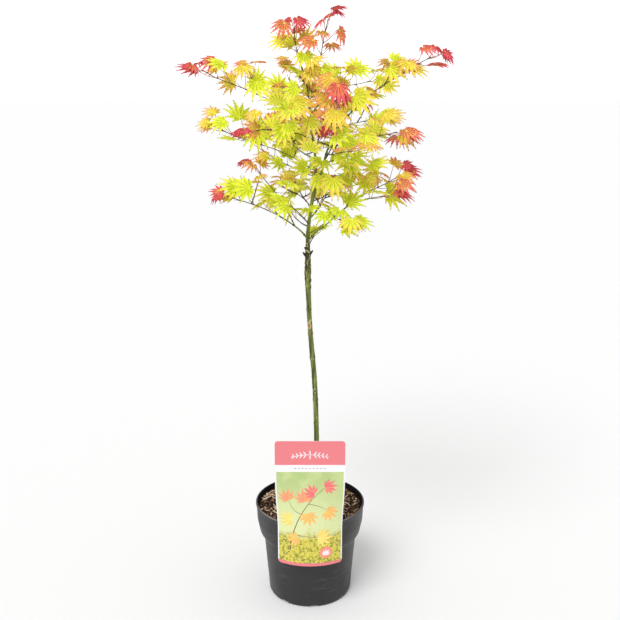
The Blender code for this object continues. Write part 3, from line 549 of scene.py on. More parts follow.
class LeafSettings(bpy.types.PropertyGroup):
    """The leaves' cut and their autumn tints."""

    tooth: portion("Tooth", "Depth of a tooth, as a share of the leaf", 0.030)
    keel: portion("Keel", "How far each lobe is folded", 0.11)
    vein: portion("Vein", "Half the width of a vein, as a share of the lobe", 0.10)
    roughness: portion("Roughness", "How dull the leaves are", 0.5)
    deep_lime: colour("Deep lime", "Shaded leaves inside the crown", (0.607, 0.714, 0.024))
    lime: colour("Lime", "Leaves inside the crown", (0.761, 0.830, 0.050))
    bright_lime: colour("Bright lime", "Leaves a little farther out", (0.860, 0.830, 0.085))
    yellow: colour("Yellow", "Leaves halfway out", (0.870, 0.755, 0.100))
    gold: colour("Gold", "Leaves that start to turn", (0.850, 0.595, 0.105))
    amber: colour("Amber", "Leaves near the tips", (0.830, 0.395, 0.115))
    orange: colour("Orange", "The next leaves out", (0.800, 0.250, 0.115))
    coral: colour("Coral", "Young leaves", (0.760, 0.125, 0.130))
    red: colour("Red", "The youngest leaves", (0.680, 0.046, 0.095))
    deep_red: colour("Deep red", "The youngest leaves' edges", (0.430, 0.022, 0.055))
    olive_tip: colour("Olive tips", "Tips of the green leaves", (0.420, 0.400, 0.045))
    brown_tip: colour("Brown tips", "Tips of the yellow leaves", (0.520, 0.270, 0.060))
    plum_tip: colour("Plum tips", "Tips of the red leaves", (0.400, 0.050, 0.075))
    olive_vein: colour("Olive veins", "Veins of the green leaves", (0.575, 0.603, 0.041))
    ochre_vein: colour("Ochre veins", "Veins of the yellow leaves", (0.600, 0.410, 0.042))
    rose_vein: colour("Rose veins", "Veins of the red leaves", (0.800, 0.180, 0.170))
    # Painted shade in the creases between each kind of leaf's lobes.
    olive_fold: colour("Olive folds", "Between the green leaves' lobes", (0.510, 0.596, 0.017))
    ochre_fold: colour("Ochre folds", "Between the yellow leaves' lobes", (0.680, 0.515, 0.048))
    rose_fold: colour("Rose folds", "Between the red leaves' lobes", (0.520, 0.080, 0.075))
    twig: colour("Twigs", "Dark olive of the twigs", (0.038, 0.030, 0.011))
    rose_stalk: colour("Rose stalks", "Stalks of the outer leaves", (0.330, 0.130, 0.120))
    green_stalk: colour("Green stalks", "Stalks of the inner leaves", (0.260, 0.230, 0.070))
    bud: colour("Buds", "Near black of the nodes", (0.018, 0.008, 0.008))


class StageSettings(bpy.types.PropertyGroup):
    """The camera, the floor and the lights."""

    lens: bpy.props.FloatProperty(
        name="Lens", description="Focal length on a 36 mm sensor", default=50.57, unit="CAMERA"
    )
    distance: measure("Distance", "From the pot's axis to the camera", 1400.0)
    height: measure("Height", "Of the camera over the floor", 884.0)
    pitch: angle("Pitch", "How far the camera looks down", 14.8)
    floor: colour("Floor", "Pale floor", (0.88, 0.88, 0.88))
    key: strength("Key light", "Strength of the large soft light", 1.8)
    softness: angle("Softness", "Width of the key light as it is seen from the plant", 32.0)
    zenith: strength("Overhead", "Strength of the light from above", 0.55)
    horizon: strength("Walls", "Strength of the light from the pale walls", 1.2)


class Wire:
    """A shader socket in an expression: each operator adds the Math node that works it out."""

    def __init__(self, tree, socket):
        self.tree = tree
        self.socket = socket

    def combined(self, operation, *values):
        """The result of a Math node on some values or sockets."""
        return self.tree.node("ShaderNodeMath", {"operation": operation}, dict(enumerate(values)))

    def __add__(self, other):
        return self.combined("ADD", self, other)

    def __radd__(self, other):
        return self.combined("ADD", other, self)

    def __sub__(self, other):
        return self.combined("SUBTRACT", self, other)

    def __rsub__(self, other):
        return self.combined("SUBTRACT", other, self)

    def __mul__(self, other):
        return self.combined("MULTIPLY", self, other)

    def __rmul__(self, other):
        return self.combined("MULTIPLY", other, self)


class Tree:
    """A node tree in the making: its shader and the nodes that feed it."""

    def __init__(self, owner, shader):
        owner.use_nodes = True
        self.tree = owner.node_tree
        self.shader = self.tree.nodes[shader]

    def plug(self, socket, value):
        """Give one socket a value or a link."""
        if isinstance(value, Wire):
            self.tree.links.new(value.socket, socket)
        elif socket.type == "RGBA":
            socket.default_value = (*tuple(value)[:3], 1.0)
        else:
            socket.default_value = value

    def feed(self, name, value):
        """Give a socket of the shader a value or a link."""
        self.plug(self.shader.inputs[name], value)

    def node(self, kind, settings=None, sockets=None, output=0):
        """Add a node with its settings and sockets, and give back one of its outputs."""
        made = self.tree.nodes.new(kind)
        for name, value in (settings or {}).items():
            setattr(made, name, value)
        for key, value in (sockets or {}).items():
            self.plug(made.inputs[key], value)
        return Wire(self, made.outputs[output])


class Look(Tree):
    """A material in the making, with the masks and blends that its finish needs."""

    def __init__(self, name, base, roughness, gloss=0.5):
        self.material = bpy.data.materials.new(name)
        self.material.diffuse_color = (*base, 1.0)
        super().__init__(self.material, "Principled BSDF")
        self.feed("Base Color", tuple(base))
        self.feed("Roughness", roughness)
        self.feed("Specular IOR Level", gloss)

    def place(self, stretch=EVEN):
        """The point's place on the object, stretched along each axis."""
        point = self.node("ShaderNodeTexCoord", output=3)
        settings = {"operation": "MULTIPLY"}
        return self.node("ShaderNodeVectorMath", settings, {0: point, 1: stretch})

    def axis(self, index):
        """One of the point's coordinates, in metres."""
        return self.node("ShaderNodeSeparateXYZ", sockets={0: self.place()}, output=index)

    def speckle(self, scale, detail=3.0, roughness=0.55, stretch=EVEN):
        """Cloudy noise from 0 to 1."""
        sockets = {"Vector": self.place(stretch), "Scale": scale,
                   "Detail": detail, "Roughness": roughness}
        return self.node("ShaderNodeTexNoise", sockets=sockets)

    def cells(self, scale, stretch=EVEN):
        """Distance to the nearest of scattered points."""
        sockets = {"Vector": self.place(stretch), "Scale": scale}
        return self.node("ShaderNodeTexVoronoi", sockets=sockets)

    def rise(self, value, low, high):
        """A smooth step from 0 at low to 1 at high."""
        settings = {"interpolation_type": "SMOOTHSTEP"}
        return self.node("ShaderNodeMapRange", settings, {0: value, 1: low, 2: high})

    def blend(self, mask, first, second):
        """One colour turning into another where the mask is 1."""
        return self.node("ShaderNodeMix", {"data_type": "RGBA"}, {0: mask, 6: first, 7: second}, 2)

    def paint(self, mask, first, second):
        """Feed the base colour with one colour turning into another."""
        self.feed("Base Color", self.blend(mask, first, second))

    def bump(self, height, distance, strength=1.0):
        """Feed the shader's normal from a height."""
        sockets = {"Strength": strength, "Distance": distance, "Height": height}
        self.feed("Normal", self.node("ShaderNodeBump", sockets=sockets))

    def flecks(self, grain):
        """A mask of flecks or streaks, from one of the named grains."""
        scale, detail, roughness, stretch, low, high = grain
        return self.rise(self.speckle(scale, detail, roughness, stretch), low, high)

    def banded(self, tone, value, bands):
        """A colour that turns into each band's own, between two values and by a share."""
        for low, high, share, other in bands:
            tone = self.blend(self.rise(value, low, high) * share, tone, other)
        return tone


class Heap:
    """Points and faces gathered for one joined mesh, with a look for each face."""

    def __init__(self):
        self.points = []
        self.faces = []
        self.looks = []

    def add(self, points, faces, looks):
        """Add a shape, with one look for all its faces or a look for each."""
        base = len(self.points)
        self.points.extend(points)
        self.faces.extend([tuple(base + corner for corner in face) for face in faces])
        self.looks.extend([looks] * len(faces) if isinstance(looks, int) else looks)

    def piece(self, name, materials, is_smooth=True):
        """The mesh object that holds all of it, riding on the plant's one body."""
        mesh = bpy.data.meshes.new(name)
        mesh.from_pydata([tuple(point) for point in self.points], [], self.faces)
        for look in materials:
            mesh.materials.append(look)
        mesh.polygons.foreach_set("material_index", self.looks)
        if is_smooth:
            mesh.shade_smooth()
        return placed(name, mesh)


def placed(name, mesh):
    """A new object of this mesh that rides on the plant's one body."""
    piece = bpy.data.objects.new(name, mesh)
    bpy.context.scene.collection.objects.link(piece)
    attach(piece, "root")
    return piece


def millimetres(points):
    """Points given in millimetres, as vectors in metres."""
    return [Vector(point) * MM for point in points]


def spread(count, first, last):
    """Evenly spaced values from first to last."""
    return [first + (last - first) * i / (count - 1) for i in range(count)]


def smooth_step(low, high, value):
    """A smooth rise from 0 at low to 1 at high."""
    portion = min(max((value - low) / (high - low), 0.0), 1.0)
    return portion * portion * (3.0 - 2.0 * portion)


def round_way(degrees):
    """The level direction at a bearing from +X."""
    turn = math.radians(degrees)
    return Vector((math.cos(turn), math.sin(turn), 0.0))


def wall_faces(rings, sides, first=0):
    """The four-sided faces between rings of points that follow each other."""
    faces = []
    for start in range(first, first + (rings - 1) * sides, sides):
        for corner in range(sides):
            a, b = start + corner, start + (corner + 1) % sides
            faces.append((a, b, b + sides, a + sides))
    return faces


def tube_faces(rings, sides):
    """The faces of a closed tube: its foot, its walls, then its end."""
    last = (rings - 1) * sides
    return [
        tuple(reversed(range(sides))),
        *wall_faces(rings, sides),
        tuple(range(last, last + sides)),
    ]


# Growth, by the same rule as the solids.
def directions(points):
    """The direction of a course at each of its points."""
    found = []
    for index in range(len(points)):
        before = points[max(index - 1, 0)]
        after = points[min(index + 1, len(points) - 1)]
        found.append((after - before).normalized())
    return found


def ring_corners(points, sides):
    """At each point of a course, its heading and the directions out to a ring's corners."""
    headings = directions(points)
    turns = [2 * math.pi * corner / sides for corner in range(sides)]
    side = headings[0].orthogonal().normalized()
    for ahead in headings:
        side = (side - ahead * side.dot(ahead)).normalized()
        other = ahead.cross(side)
        yield ahead, [side * math.cos(turn) + other * math.sin(turn) for turn in turns]


def tube(points, radii, sides, foot=None):
    """A closed tapering tube. Its foot may be cut along a plane with its own normal."""
    vertices = []
    for point, radius, (ahead, corners) in zip(points, radii, ring_corners(points, sides)):
        cut = None if vertices else foot
        for out in corners:
            offset = out * radius
            if cut is not None:
                offset -= ahead * (offset.dot(cut) / ahead.dot(cut))
            vertices.append(point + offset)
    return vertices, tube_faces(len(points), sides)


def distances(points):
    """How far along a course each point lies."""
    sums = [0.0]
    for before, after in zip(points, points[1:]):
        sums.append(sums[-1] + (after - before).length)
    return sums


def lengths(points):
    """How far along a course each point lies, from 0 to 1."""
    sums = distances(points)
    return [total / sums[-1] for total in sums]


def between(course, index, part):
    """The point, direction and radius of a limb, part of the way along one of its stretches."""
    points, radii = course
    point = points[index].lerp(points[index + 1], part)
    ahead = (points[index + 1] - points[index]).normalized()
    return point, ahead, radii[index] + part * (radii[index + 1] - radii[index])


def along(course, share):
    """The point, direction and radius of a limb at a share of its length."""
    shares = lengths(course[0])
    last = len(shares) - 2
    index = next((i for i in range(last) if share <= shares[i + 1]), last)
    return between(course, index, (share - shares[index]) / (shares[index + 1] - shares[index]))


def start_on(course, share, towards):
    """Where a shoot starts, 0.3 mm clear of the limb it leaves, and the plane of its foot."""
    point, ahead, radius = along(course, share)
    if share == 1.0:
        return point + ahead * GAP, ahead
    heading = (towards - point).normalized()
    outward = (heading - ahead * heading.dot(ahead)).normalized()
    reach = (radius + GAP) / heading.dot(outward)
    return point + heading * reach, outward


def rooted(carrier, share, course):
    """A course in millimetres as points that start on what carries it, and its foot's plane."""
    points = millimetres(course)
    start, foot = start_on(carrier, share, points[0])
    return [start] + points, foot


def limb_courses():
    """The points, radii and foot plane of the trunk and every limb."""
    trunk = (millimetres(point[:3] for point in TRUNK), [point[3] * MM for point in TRUNK])
    courses = {"trunk": trunk}
    feet = {"trunk": UP}
    for name, (parent, share, foot_radius, tip_radius, course) in LIMBS.items():
        points, feet[name] = rooted(courses[parent], share, course)
        taper = [foot_radius + (tip_radius - foot_radius) * part for part in lengths(points)]
        courses[name] = (points, [radius * MM for radius in taper])
    return courses, feet


def blade(leaf):
    """A leaf as a plain closed star, a little larger and thicker than it is, to test its room."""
    hub, out, fold = leaf["hub"], leaf["out"], leaf["fold"]
    right = []
    for index, (bearing, reach, notch) in enumerate(LOBES):
        following = LOBES[index + 1][0] if index + 1 < len(LOBES) else 180
        right.append((bearing * fold, reach))
        right.append(((bearing + following) / 2 * fold if following < 180 else 180, notch))
    left = [(-bearing, reach) for bearing, reach in reversed(right[1:-1])]
    length = leaf["length"] * LEAF_ROOM
    points = []
    for bearing, reach in right + left:
        turn = math.radians(bearing)
        span, drop = length * reach, leaf["droop"] * reach ** DROOP_CURVE
        points.append(
            hub + leaf["ahead"] * (span * math.cos(turn)) + leaf["across"] * (span * math.sin(turn))
            - out * (length * drop)
        )
    count = len(points)
    points += [hub + out * LEAF_SPACE * MM / 2, hub - out * LEAF_SPACE * MM / 2]
    faces = []
    for i in range(count):
        j = (i + 1) % count
        faces += [(i, j, count), (j, i, count + 1)]
    return points, faces


def stalk_course(leaf):
    """A leaf stalk's course from the hub, where it meets the leaf's near side, to the twig."""
    start, hub, out = leaf["start"], leaf["hub"], leaf["out"]
    under = -out if (start - hub).dot(out) < 0 else out
    neck = hub + (under + (start - hub).normalized()) * STALK_NECK * MM
    return [hub + under * LEAF_THICK * MM / 2, neck, start]


def stalk(leaf):
    """A leaf's stalk as a plain tube, to test its room."""
    return tube(stalk_course(leaf), [STALK_RADIUS * MM] * 3, TWIG_SIDES)


def draw_leaf(dice, start, ahead, roll, opening, size, tint, light):
    """One leaf with its stalk, drawn from the dice, that leaves a twig on a given side."""
    level = ahead.cross(UP)
    level = level.normalized() if level.length > 0.2 else Vector((1.0, 0.0, 0.0))
    upper = level.cross(ahead)
    side = level * math.cos(roll) + upper * math.sin(roll)
    heading = ahead * math.cos(opening) + side * math.sin(opening)
    heading = (heading + UP * dice.uniform(*LEAF_LIFT)).normalized()
    length = size * dice.uniform(*LEAF_LENGTH)
    hub = start + heading * length * dice.uniform(*STALK_LENGTH)
    tint = min(max(tint + dice.gauss(0.0, TINT_CHANCE), 0.0), 1.0)
    out = UP + light * dice.uniform(*LIGHT_PULL)
    out += Vector([dice.gauss(0.0, TILT_CHANCE) for _ in range(3)])
    out.normalize()
    bearing = math.atan2(heading.y, heading.x) + dice.gauss(0.0, BEARING_CHANCE)
    forward = Vector((math.cos(bearing), math.sin(bearing), 0.0))
    forward = (forward - out * forward.dot(out)).normalized()
    across = out.cross(forward)
    dip = math.radians(dice.gauss(DIP_BY_TINT * tint - DIP_LESS, DIP_CHANCE))
    ahead = forward * math.cos(dip) - out * math.sin(dip)
    out = out * math.cos(dip) + forward * math.sin(dip)
    return {
        "start": start, "hub": hub, "ahead": ahead, "across": across, "out": out,
        "length": length, "tint": tint, "fold": 1.0 - CLOSING * tint,
        "droop": DROOP + DROOP_BY_TINT * tint + dice.uniform(*DROOP_CHANCE),
    }


def ball_round(points):
    """The middle of some points, and how far from it the farthest lies."""
    middle = sum(points, Vector()) / len(points)
    return middle, max((point - middle).length for point in points)


class Space:
    """What is taken: shapes that a new leaf must stay clear of."""

    def __init__(self, shapes=()):
        self.taken = []
        for shape in shapes:
            self.add(shape)

    def add(self, shape):
        """Mark a shape as taken."""
        self.taken.append((*ball_round(shape[0]), BVHTree.FromPolygons(*shape)))

    def is_clear(self, shape):
        """Whether a shape cuts none of the taken ones."""
        middle, radius = ball_round(shape[0])
        tree = None
        for other, other_radius, other_tree in self.taken:
            if (other - middle).length > radius + other_radius:
                continue
            tree = tree or BVHTree.FromPolygons(*shape)
            if tree.overlap(other_tree):
                return False
        return True


def within_reach(shape, stem):
    """Whether a leaf keeps to its spray's space round the stem and to the crown's height."""
    for point in shape[0]:
        if not CROWN_FOOT * MM < point.z < CROWN_TOP * MM:
            return False
        if min((point - other).length for other in stem) > SPRAY_REACH * MM:
            return False
    return True


def grow_pair(growth, stem, index, others, blades, wood, light):
    """The leaves at one node of a spray: a pair, and at the last node a third.

    others holds the other sprays and the limbs, blades and wood this spray's own leaves and twigs.
    """
    size, low, high, seeds = growth
    count = len(seeds)
    place = 1.0 if count == 1 else FIRST_PAIR + (1.0 - FIRST_PAIR) * index / (count - 1)
    is_last = index == count - 1
    point, ahead, _ = along((stem, [0.0] * len(stem)), place)
    leaves = []
    for number in range(3 if is_last else 2):
        dice = random.Random(seeds[index] * SEED_STEPS[0] + number * SEED_STEPS[1] + index)
        turn = index * math.pi / 2 + number * math.pi + dice.gauss(0.0, TURN_CHANCE)
        for _ in range(TRIES):
            opening = math.radians(dice.uniform(*(TIP_OPENING if is_last else SIDE_OPENING)))
            length = size * MM * (1.0 - SHORTENING * place)
            if number == 2:
                opening *= THIRD_OPENING
                length *= THIRD_LENGTH
            turned = ((place - FIRST_PAIR) / (1.0 - FIRST_PAIR)) ** TINT_CURVE
            tint = low + (high - low) * turned
            root = point - ahead * STALK_STEP * MM * (number + (TIP_STEP if is_last else 0.0))
            leaf = draw_leaf(dice, root, ahead, turn, opening, length, tint, light)
            turn += dice.uniform(-0.5, 0.5)
            shape = blade(leaf)
            if not within_reach(shape, stem):
                continue
            if not all(space.is_clear(shape) for space in (blades, wood, *others)):
                continue
            thin = stalk(leaf)
            if all(space.is_clear(thin) for space in (blades, *others)):
                blades.add(shape)
                wood.add(thin)
                leaves.append(leaf)
                break
    return leaves


def grow_leaves(growth, stem, others, light=TO_LIGHT):
    """The leaves of one spray, from foot to tip. A leaf that finds no room is left out."""
    blades, wood = Space(), Space([tube(stem, [TWIG_FOOT * MM] * len(stem), TWIG_SIDES)])
    leaves = []
    for index in range(len(growth[3])):
        leaves += grow_pair(growth, stem, index, others, blades, wood, light)
    return leaves


def roomy_stem(stem, foot):
    """A spray's stem with the gap that others keep from it."""
    return tube(stem, [(TWIG_FOOT + TWIG_SPACE) * MM] * len(stem), TWIG_SIDES, foot)


def take_spray(space, stem, foot, leaves):
    """Mark a finished spray's shapes as taken."""
    space.add(roomy_stem(stem, foot))
    for leaf in leaves:
        space.add(blade(leaf))
        space.add(stalk(leaf))


# The leaf that shows, worked out once at length 1 as reach, bearing and lift of each point.
def notch_between(lower, upper):
    """The bearing and reach of the notch between two lobes."""
    return (lower[0] + upper[0]) / 2, NOTCH_SHARE * (lower[1] + upper[1]) / 2


def lobe_margin(notch_width, step):
    """How wide a lobe is on one side, from its notch at 0 to its tip at 1."""
    swell = 0.056 * math.sin(math.pi * step ** 0.7) * (1.0 - step) ** 0.75
    return notch_width * (1.0 - step) ** 1.15 + swell + 0.002


def lobe_points(bearing, reach, notches, settings, sign):
    """One lobe's points, station by station from the hub out, as (reach, bearing, lift)."""
    starts = []
    for notch, depth in notches:
        turn = math.radians(notch - bearing)
        starts.append((depth * math.cos(turn), abs(depth * math.sin(turn))))
    middle = (starts[0][0] + starts[1][0]) / 2
    columns = (-1.0, -LEAF_MARGIN, -settings.vein, settings.vein, LEAF_MARGIN, 1.0)
    stations = [(heart, 0.0) for heart in HEART_STEPS]
    stations += [(1.0, step) for step in spread(LOBE_STEPS + 1, 0.0, 1.0)]
    points = []
    for heart, step in stations:
        number = round(step * LOBE_STEPS)
        for column in columns:
            u = abs(column)
            start, width = starts[0] if column < 0 else starts[1]
            along_side = start + step * (reach - start)
            along_rib = middle + step * (reach - middle)
            forward = heart * (along_rib + (along_side - along_rib) * u)
            aside = heart * u * lobe_margin(width, step)
            if u == 1.0 and 0 < number < LOBE_STEPS:
                bite = settings.tooth * (1 - 0.4 * step) * (1.0 if number % 2 else -0.5)
                aside = max(aside + bite, 0.002)
                forward += max(bite, 0.0) * 0.7
            lift = settings.keel * u * heart * (1.0 - step) ** 0.6
            turn = math.radians(bearing) + math.copysign(math.atan2(aside, forward), column)
            points.append((math.hypot(forward, aside), sign * turn, lift))
    return points


def leaf_template(settings):
    """The drawn leaf's points, its faces and the zone of each face."""
    points = [(0.0, 0.0, 0.0)]
    lobe_of = [0]
    faces, zones = [], []
    notches = [notch_between(*pair) for pair in zip(FINE_LOBES, FINE_LOBES[1:])] + [OUTER_NOTCH]
    lobes = [(0, 1)]
    lobes += [(i, sign) for i in range(1, len(FINE_LOBES)) for sign in (1, -1)]
    for number, (i, sign) in enumerate(lobes):
        bearing, reach = FINE_LOBES[i]
        outer = notches[i]
        inner = notches[i - 1] if i else (-outer[0], outer[1])
        first = len(points)
        made = lobe_points(bearing, reach, (inner, outer), settings, sign)
        points += made
        lobe_of += [number] * len(made)
        rows = len(made) // LEAF_COLUMNS
        lobe_faces = []
        for column in range(LEAF_COLUMNS - 1):
            lobe_faces.append((0, first + column, first + column + 1))
            zones.append(zone_of(-1.0, column))
        for row in range(rows - 1):
            out = (row - len(HEART_STEPS)) / LOBE_STEPS
            for column in range(LEAF_COLUMNS - 1):
                a = first + row * LEAF_COLUMNS + column
                lobe_faces.append((a, a + LEAF_COLUMNS, a + LEAF_COLUMNS + 1, a + 1))
                zones.append(zone_of(out, column))
        faces += [face[::sign] for face in lobe_faces]
    reach, bearing, lift = (np.array(values) for values in zip(*points))
    return (reach, bearing, lift, np.array(lobe_of)), faces, zones


def zone_of(out, column):
    """Which zone a face is in, by how far out it is along its lobe and by its column."""
    if out >= TIP_FROM:
        return TIP
    if column == RIB_COLUMN:
        return VEIN
    # Near the heart, the margins take the painted shade between the lobes.
    if column in MARGIN_COLUMNS and -1.0 < out < CREASE_SHADE_TO:
        return CREASE_SHADE
    if out < -0.5:
        return HEART
    if out < INNER_TO:
        return INNER
    return EDGE if column in MARGIN_COLUMNS else BLADE


def drawn_leaf(template, leaf, dice):
    """A grown leaf's points, with each lobe bent a little its own way beyond the notches."""
    reach, bearing, lift, lobe = template
    count = 2 * len(FINE_LOBES) - 1
    beyond = np.clip((reach - CUT_REACH) / (1.0 - CUT_REACH), 0.0, 1.0)
    sway = np.array([dice.gauss(0.0, 0.05) for _ in range(count)])[lobe]
    sag = np.array([dice.gauss(0.0, 0.055) for _ in range(count)])[lobe]
    turn = bearing * leaf["fold"] + sway * beyond
    length = leaf["length"]
    forward = length * reach * np.cos(turn)
    across = length * reach * np.sin(turn)
    down = length * (leaf["droop"] * reach ** DROOP_CURVE + sag * beyond ** 1.4 - lift)
    axes = np.array([leaf["ahead"], leaf["across"], -leaf["out"]])
    return (np.array(leaf["hub"]) + np.stack([forward, across, down], 1) @ axes).tolist()


def level_of(tint, marks):
    """How many of the marks a tint has reached: 0 for green, 1 for yellow, 2 for red."""
    return sum(tint >= mark for mark in marks)


def leaf_looks(tint, dice):
    """Which tone each zone of a leaf takes, zone by zone, from its tint and a little chance."""
    blade = round(min(max(0.8 + 7.6 * tint + dice.uniform(-0.6, 0.6), 0.0), REDDEST))
    inner = max(blade - 1, 1)
    heart = max(blade - 2, 1)
    edge = blade + dice.choice((0, 1)) if blade > 1 else blade
    tip = LEAF_TONES.index("olive_tip") + level_of(tint, TIP_MARKS)
    level = level_of(tint, VEIN_MARKS)
    vein = LEAF_TONES.index("olive_vein") + level
    # The fold tone is painted shade between the lobes.
    fold = LEAF_TONES.index("olive_fold") + level
    return heart, inner, blade, edge, tip, vein, fold


# The pot and its compost.
def inner_radius(height):
    """The pot's inner radius at a height, from its outer side."""
    radii, heights = zip(*reversed(POT_OUTER))
    return float(np.interp(height, heights, radii)) - POT_WALL


def rounded(profile, cut):
    """A profile whose corners are rounded off over a short distance."""
    points = [Vector(point) for point in profile]
    made = [points[0]]
    for before, corner, after in zip(points, points[1:], points[2:]):
        arrive = corner + (before - corner).normalized() * min(cut, 0.4 * (before - corner).length)
        leave = corner + (after - corner).normalized() * min(cut, 0.4 * (after - corner).length)
        made += [arrive, (arrive + leave + 2 * corner) / 4, leave]
    return made + [points[-1]]


def turned(name, profile):
    """A closed round piece from (radius, height) points that run down its outer side."""
    mesh = bpy.data.meshes.new(name)
    points = [(radius * MM, 0.0, height * MM) for radius, height in profile]
    mesh.from_pydata(points, [(i, i + 1) for i in range(len(points) - 1)], [])
    piece = placed(name, mesh)
    screw = piece.modifiers.new("turned", "SCREW")
    screw.steps = screw.render_steps = POT_STEPS
    screw.use_merge_vertices = True
    screw.merge_threshold = 0.0001
    return piece


def pot_piece():
    """The pot: turned from its profile, with drain notches cut through its foot."""
    heights = [POT_FLOOR, *POT_INNER_HEIGHTS, POT_OUTER[0][1]]
    profile = [(0.0, POT_FLOOR)]
    profile += [(inner_radius(height), height) for height in heights]
    profile += list(POT_OUTER) + [(0.0, 0.0)]
    pot = turned("nursery_pot", rounded(profile, POT_ROUNDING))
    cutters = bpy.data.collections.new("pot_notches")
    length = (POT_OUTER[-1][0] + NOTCH_PAST - NOTCH_INNER) * MM
    height = (NOTCH_DEPTH + NOTCH_WEAR - NOTCH_RADIUS) * MM
    for index in range(NOTCHES):
        outward = round_way(FIRST_NOTCH + index * 360.0 / NOTCHES)
        bpy.ops.mesh.primitive_cylinder_add(vertices=48, radius=NOTCH_RADIUS * MM, depth=length)
        cutter = bpy.context.object
        turn = UP.rotation_difference(outward).to_matrix().to_4x4()
        middle = outward * (NOTCH_INNER * MM + length / 2)
        cutter.matrix_world = Matrix.Translation(middle + UP * height) @ turn
        bpy.context.scene.collection.objects.unlink(cutter)
        cutters.objects.link(cutter)
    notches = pot.modifiers.new("notches", "BOOLEAN")
    notches.operand_type = "COLLECTION"
    notches.collection = cutters
    applied(pot)
    for cutter in list(cutters.objects):
        bpy.data.objects.remove(cutter, do_unlink=True)
    bpy.data.collections.remove(cutters)
    pot.data.shade_smooth()
    pot.data.set_sharp_from_angle(angle=math.radians(38))
    # Faces of the inner side take the second look, the painted shade.
    for face in pot.data.polygons:
        outward = Vector((face.center.x, face.center.y, 0.0)).normalized()
        if face.normal.dot(outward) < -0.5 and face.center.z > POT_FLOOR * MM:
            face.material_index = 1
    return pot


def applied(piece):
    """Replace a piece's mesh by what its modifiers make of it."""
    graph = bpy.context.evaluated_depsgraph_get()
    mesh = bpy.data.meshes.new_from_object(piece.evaluated_get(graph))
    piece.modifiers.clear()
    piece.data = mesh


def compost_height(x, y, heap):
    """Height of the compost's surface, in metres, a little sunk towards the pot's side."""
    point = Vector((x, y, 0.0))
    lumps = noise.noise(point / (14 * MM)) + 0.5 * noise.noise(point / (5 * MM))
    edge = smooth_step(60 * MM, 92 * MM, point.length)
    return (SOIL_TOP - 1.0) * MM + heap * (0.5 * lumps - 0.6 * edge)


def compost_surface(heap):
    """The compost as one closed round block with an uneven top."""
    made = Heap()
    outer = (inner_radius(SOIL_TOP) - 0.4) * MM
    rings = [[Vector((0.0, 0.0, compost_height(0.0, 0.0, heap)))]]
    for radius in spread(SOIL_RINGS, outer / SOIL_RINGS, outer):
        ring = []
        for step in range(SOIL_STEPS):
            turn = 2 * math.pi * step / SOIL_STEPS
            x, y = radius * math.cos(turn), radius * math.sin(turn)
            ring.append(Vector((x, y, compost_height(x, y, heap))))
        rings.append(ring)
    foot = [Vector((point.x, point.y, (SOIL_TOP - SOIL_DEPTH) * MM)) for point in rings[-1]]
    points = [point for ring in rings + [foot] for point in ring]
    faces = [(0, 1 + step, 1 + (step + 1) % SOIL_STEPS) for step in range(SOIL_STEPS)]
    faces += [(a, d, c, b) for a, b, c, d in wall_faces(SOIL_RINGS + 1, SOIL_STEPS, 1)]
    last = 1 + SOIL_RINGS * SOIL_STEPS
    faces.append(tuple(range(last + SOIL_STEPS - 1, last - 1, -1)))
    made.add(points, faces, 0)
    return made


def chip_shape(dice, length, widths):
    """One split chip of bark round the origin: three uneven cross-sections, capped."""
    width = length * dice.uniform(*widths)
    thick = width * dice.uniform(0.25, 0.55)
    bend = length * dice.uniform(-0.12, 0.12)
    points = []
    for part, swell in ((-0.5, dice.uniform(0.3, 0.7)), (0.0, 1.0), (0.5, dice.uniform(0.2, 0.7))):
        for side, top in ((-1, -1), (1, -1), (1, 1), (-1, 1)):
            across = side * width * swell * dice.uniform(0.38, 0.56)
            lift = top * thick * swell * 0.5 + bend * (1 - 4 * part * part)
            points.append(Vector((part * length + across * 0.2, across, lift)))
    return points, [(3, 2, 1, 0), (8, 9, 10, 11), *wall_faces(3, 4)]


def bark_chips(settings):
    """Chips of bark strewn over the compost, most of them dark."""
    made = Heap()
    dice = random.Random(5)
    reach = (inner_radius(SOIL_TOP) - 3.0) * MM
    stem = Vector((TRUNK[0][0], TRUNK[0][1], 0.0)) * MM
    for index in range(settings.chips + settings.slivers):
        is_sliver = index >= settings.chips
        turn = dice.uniform(0.0, 2 * math.pi)
        radius = reach * math.sqrt(dice.random())
        length = settings.chip_length * dice.uniform(*CHIP_LENGTH) ** 0.8 * dice.uniform(0.8, 1.6)
        if is_sliver:
            length = settings.chip_length * dice.uniform(*SLIVER_LENGTH)
        radius = min(radius, reach - length * 0.5)
        x, y = radius * math.cos(turn), radius * math.sin(turn)
        if (Vector((x, y, 0.0)) - stem).length < STEM_ROOM * MM + length * 0.4:
            continue
        points, faces = chip_shape(dice, length, SLIVER_WIDTH if is_sliver else CHIP_WIDTH)
        lift = SLIVER_LIFT * MM if is_sliver else length * dice.uniform(*CHIP_LIFT)
        rest = Vector((x, y, compost_height(x, y, settings.heap) + lift))
        turned_by = Matrix.Rotation(dice.uniform(0.0, 2 * math.pi), 3, "Z")
        turned_by @= Matrix.Rotation(dice.gauss(0.0, 0.24), 3, "Y")
        turned_by @= Matrix.Rotation(dice.gauss(0.0, 0.35), 3, "X")
        tone = 3 if is_sliver else dice.choices((0, 1, 2, 3), CHIP_SHARES)[0]
        made.add([rest + turned_by @ point for point in points], faces, tone)
    return made


# The card and its print.
def card_point(across, height, inward):
    """A point of the card, bent round the pot at its foot and flat at its top."""
    bend = (1.0 - smooth_step(CARD_BENT_BELOW, CARD_FLAT_ABOVE, height)) / CARD_BEND
    front = CARD_BEND + CARD_THICK - inward
    if bend < 1e-6:
        return Vector((across, -front, height)) * MM
    turn = across * bend
    radius = 1.0 / bend - inward
    x = radius * math.sin(turn)
    y = -CARD_BEND - CARD_THICK + 1.0 / bend - radius * math.cos(turn)
    return Vector((x, y, height)) * MM


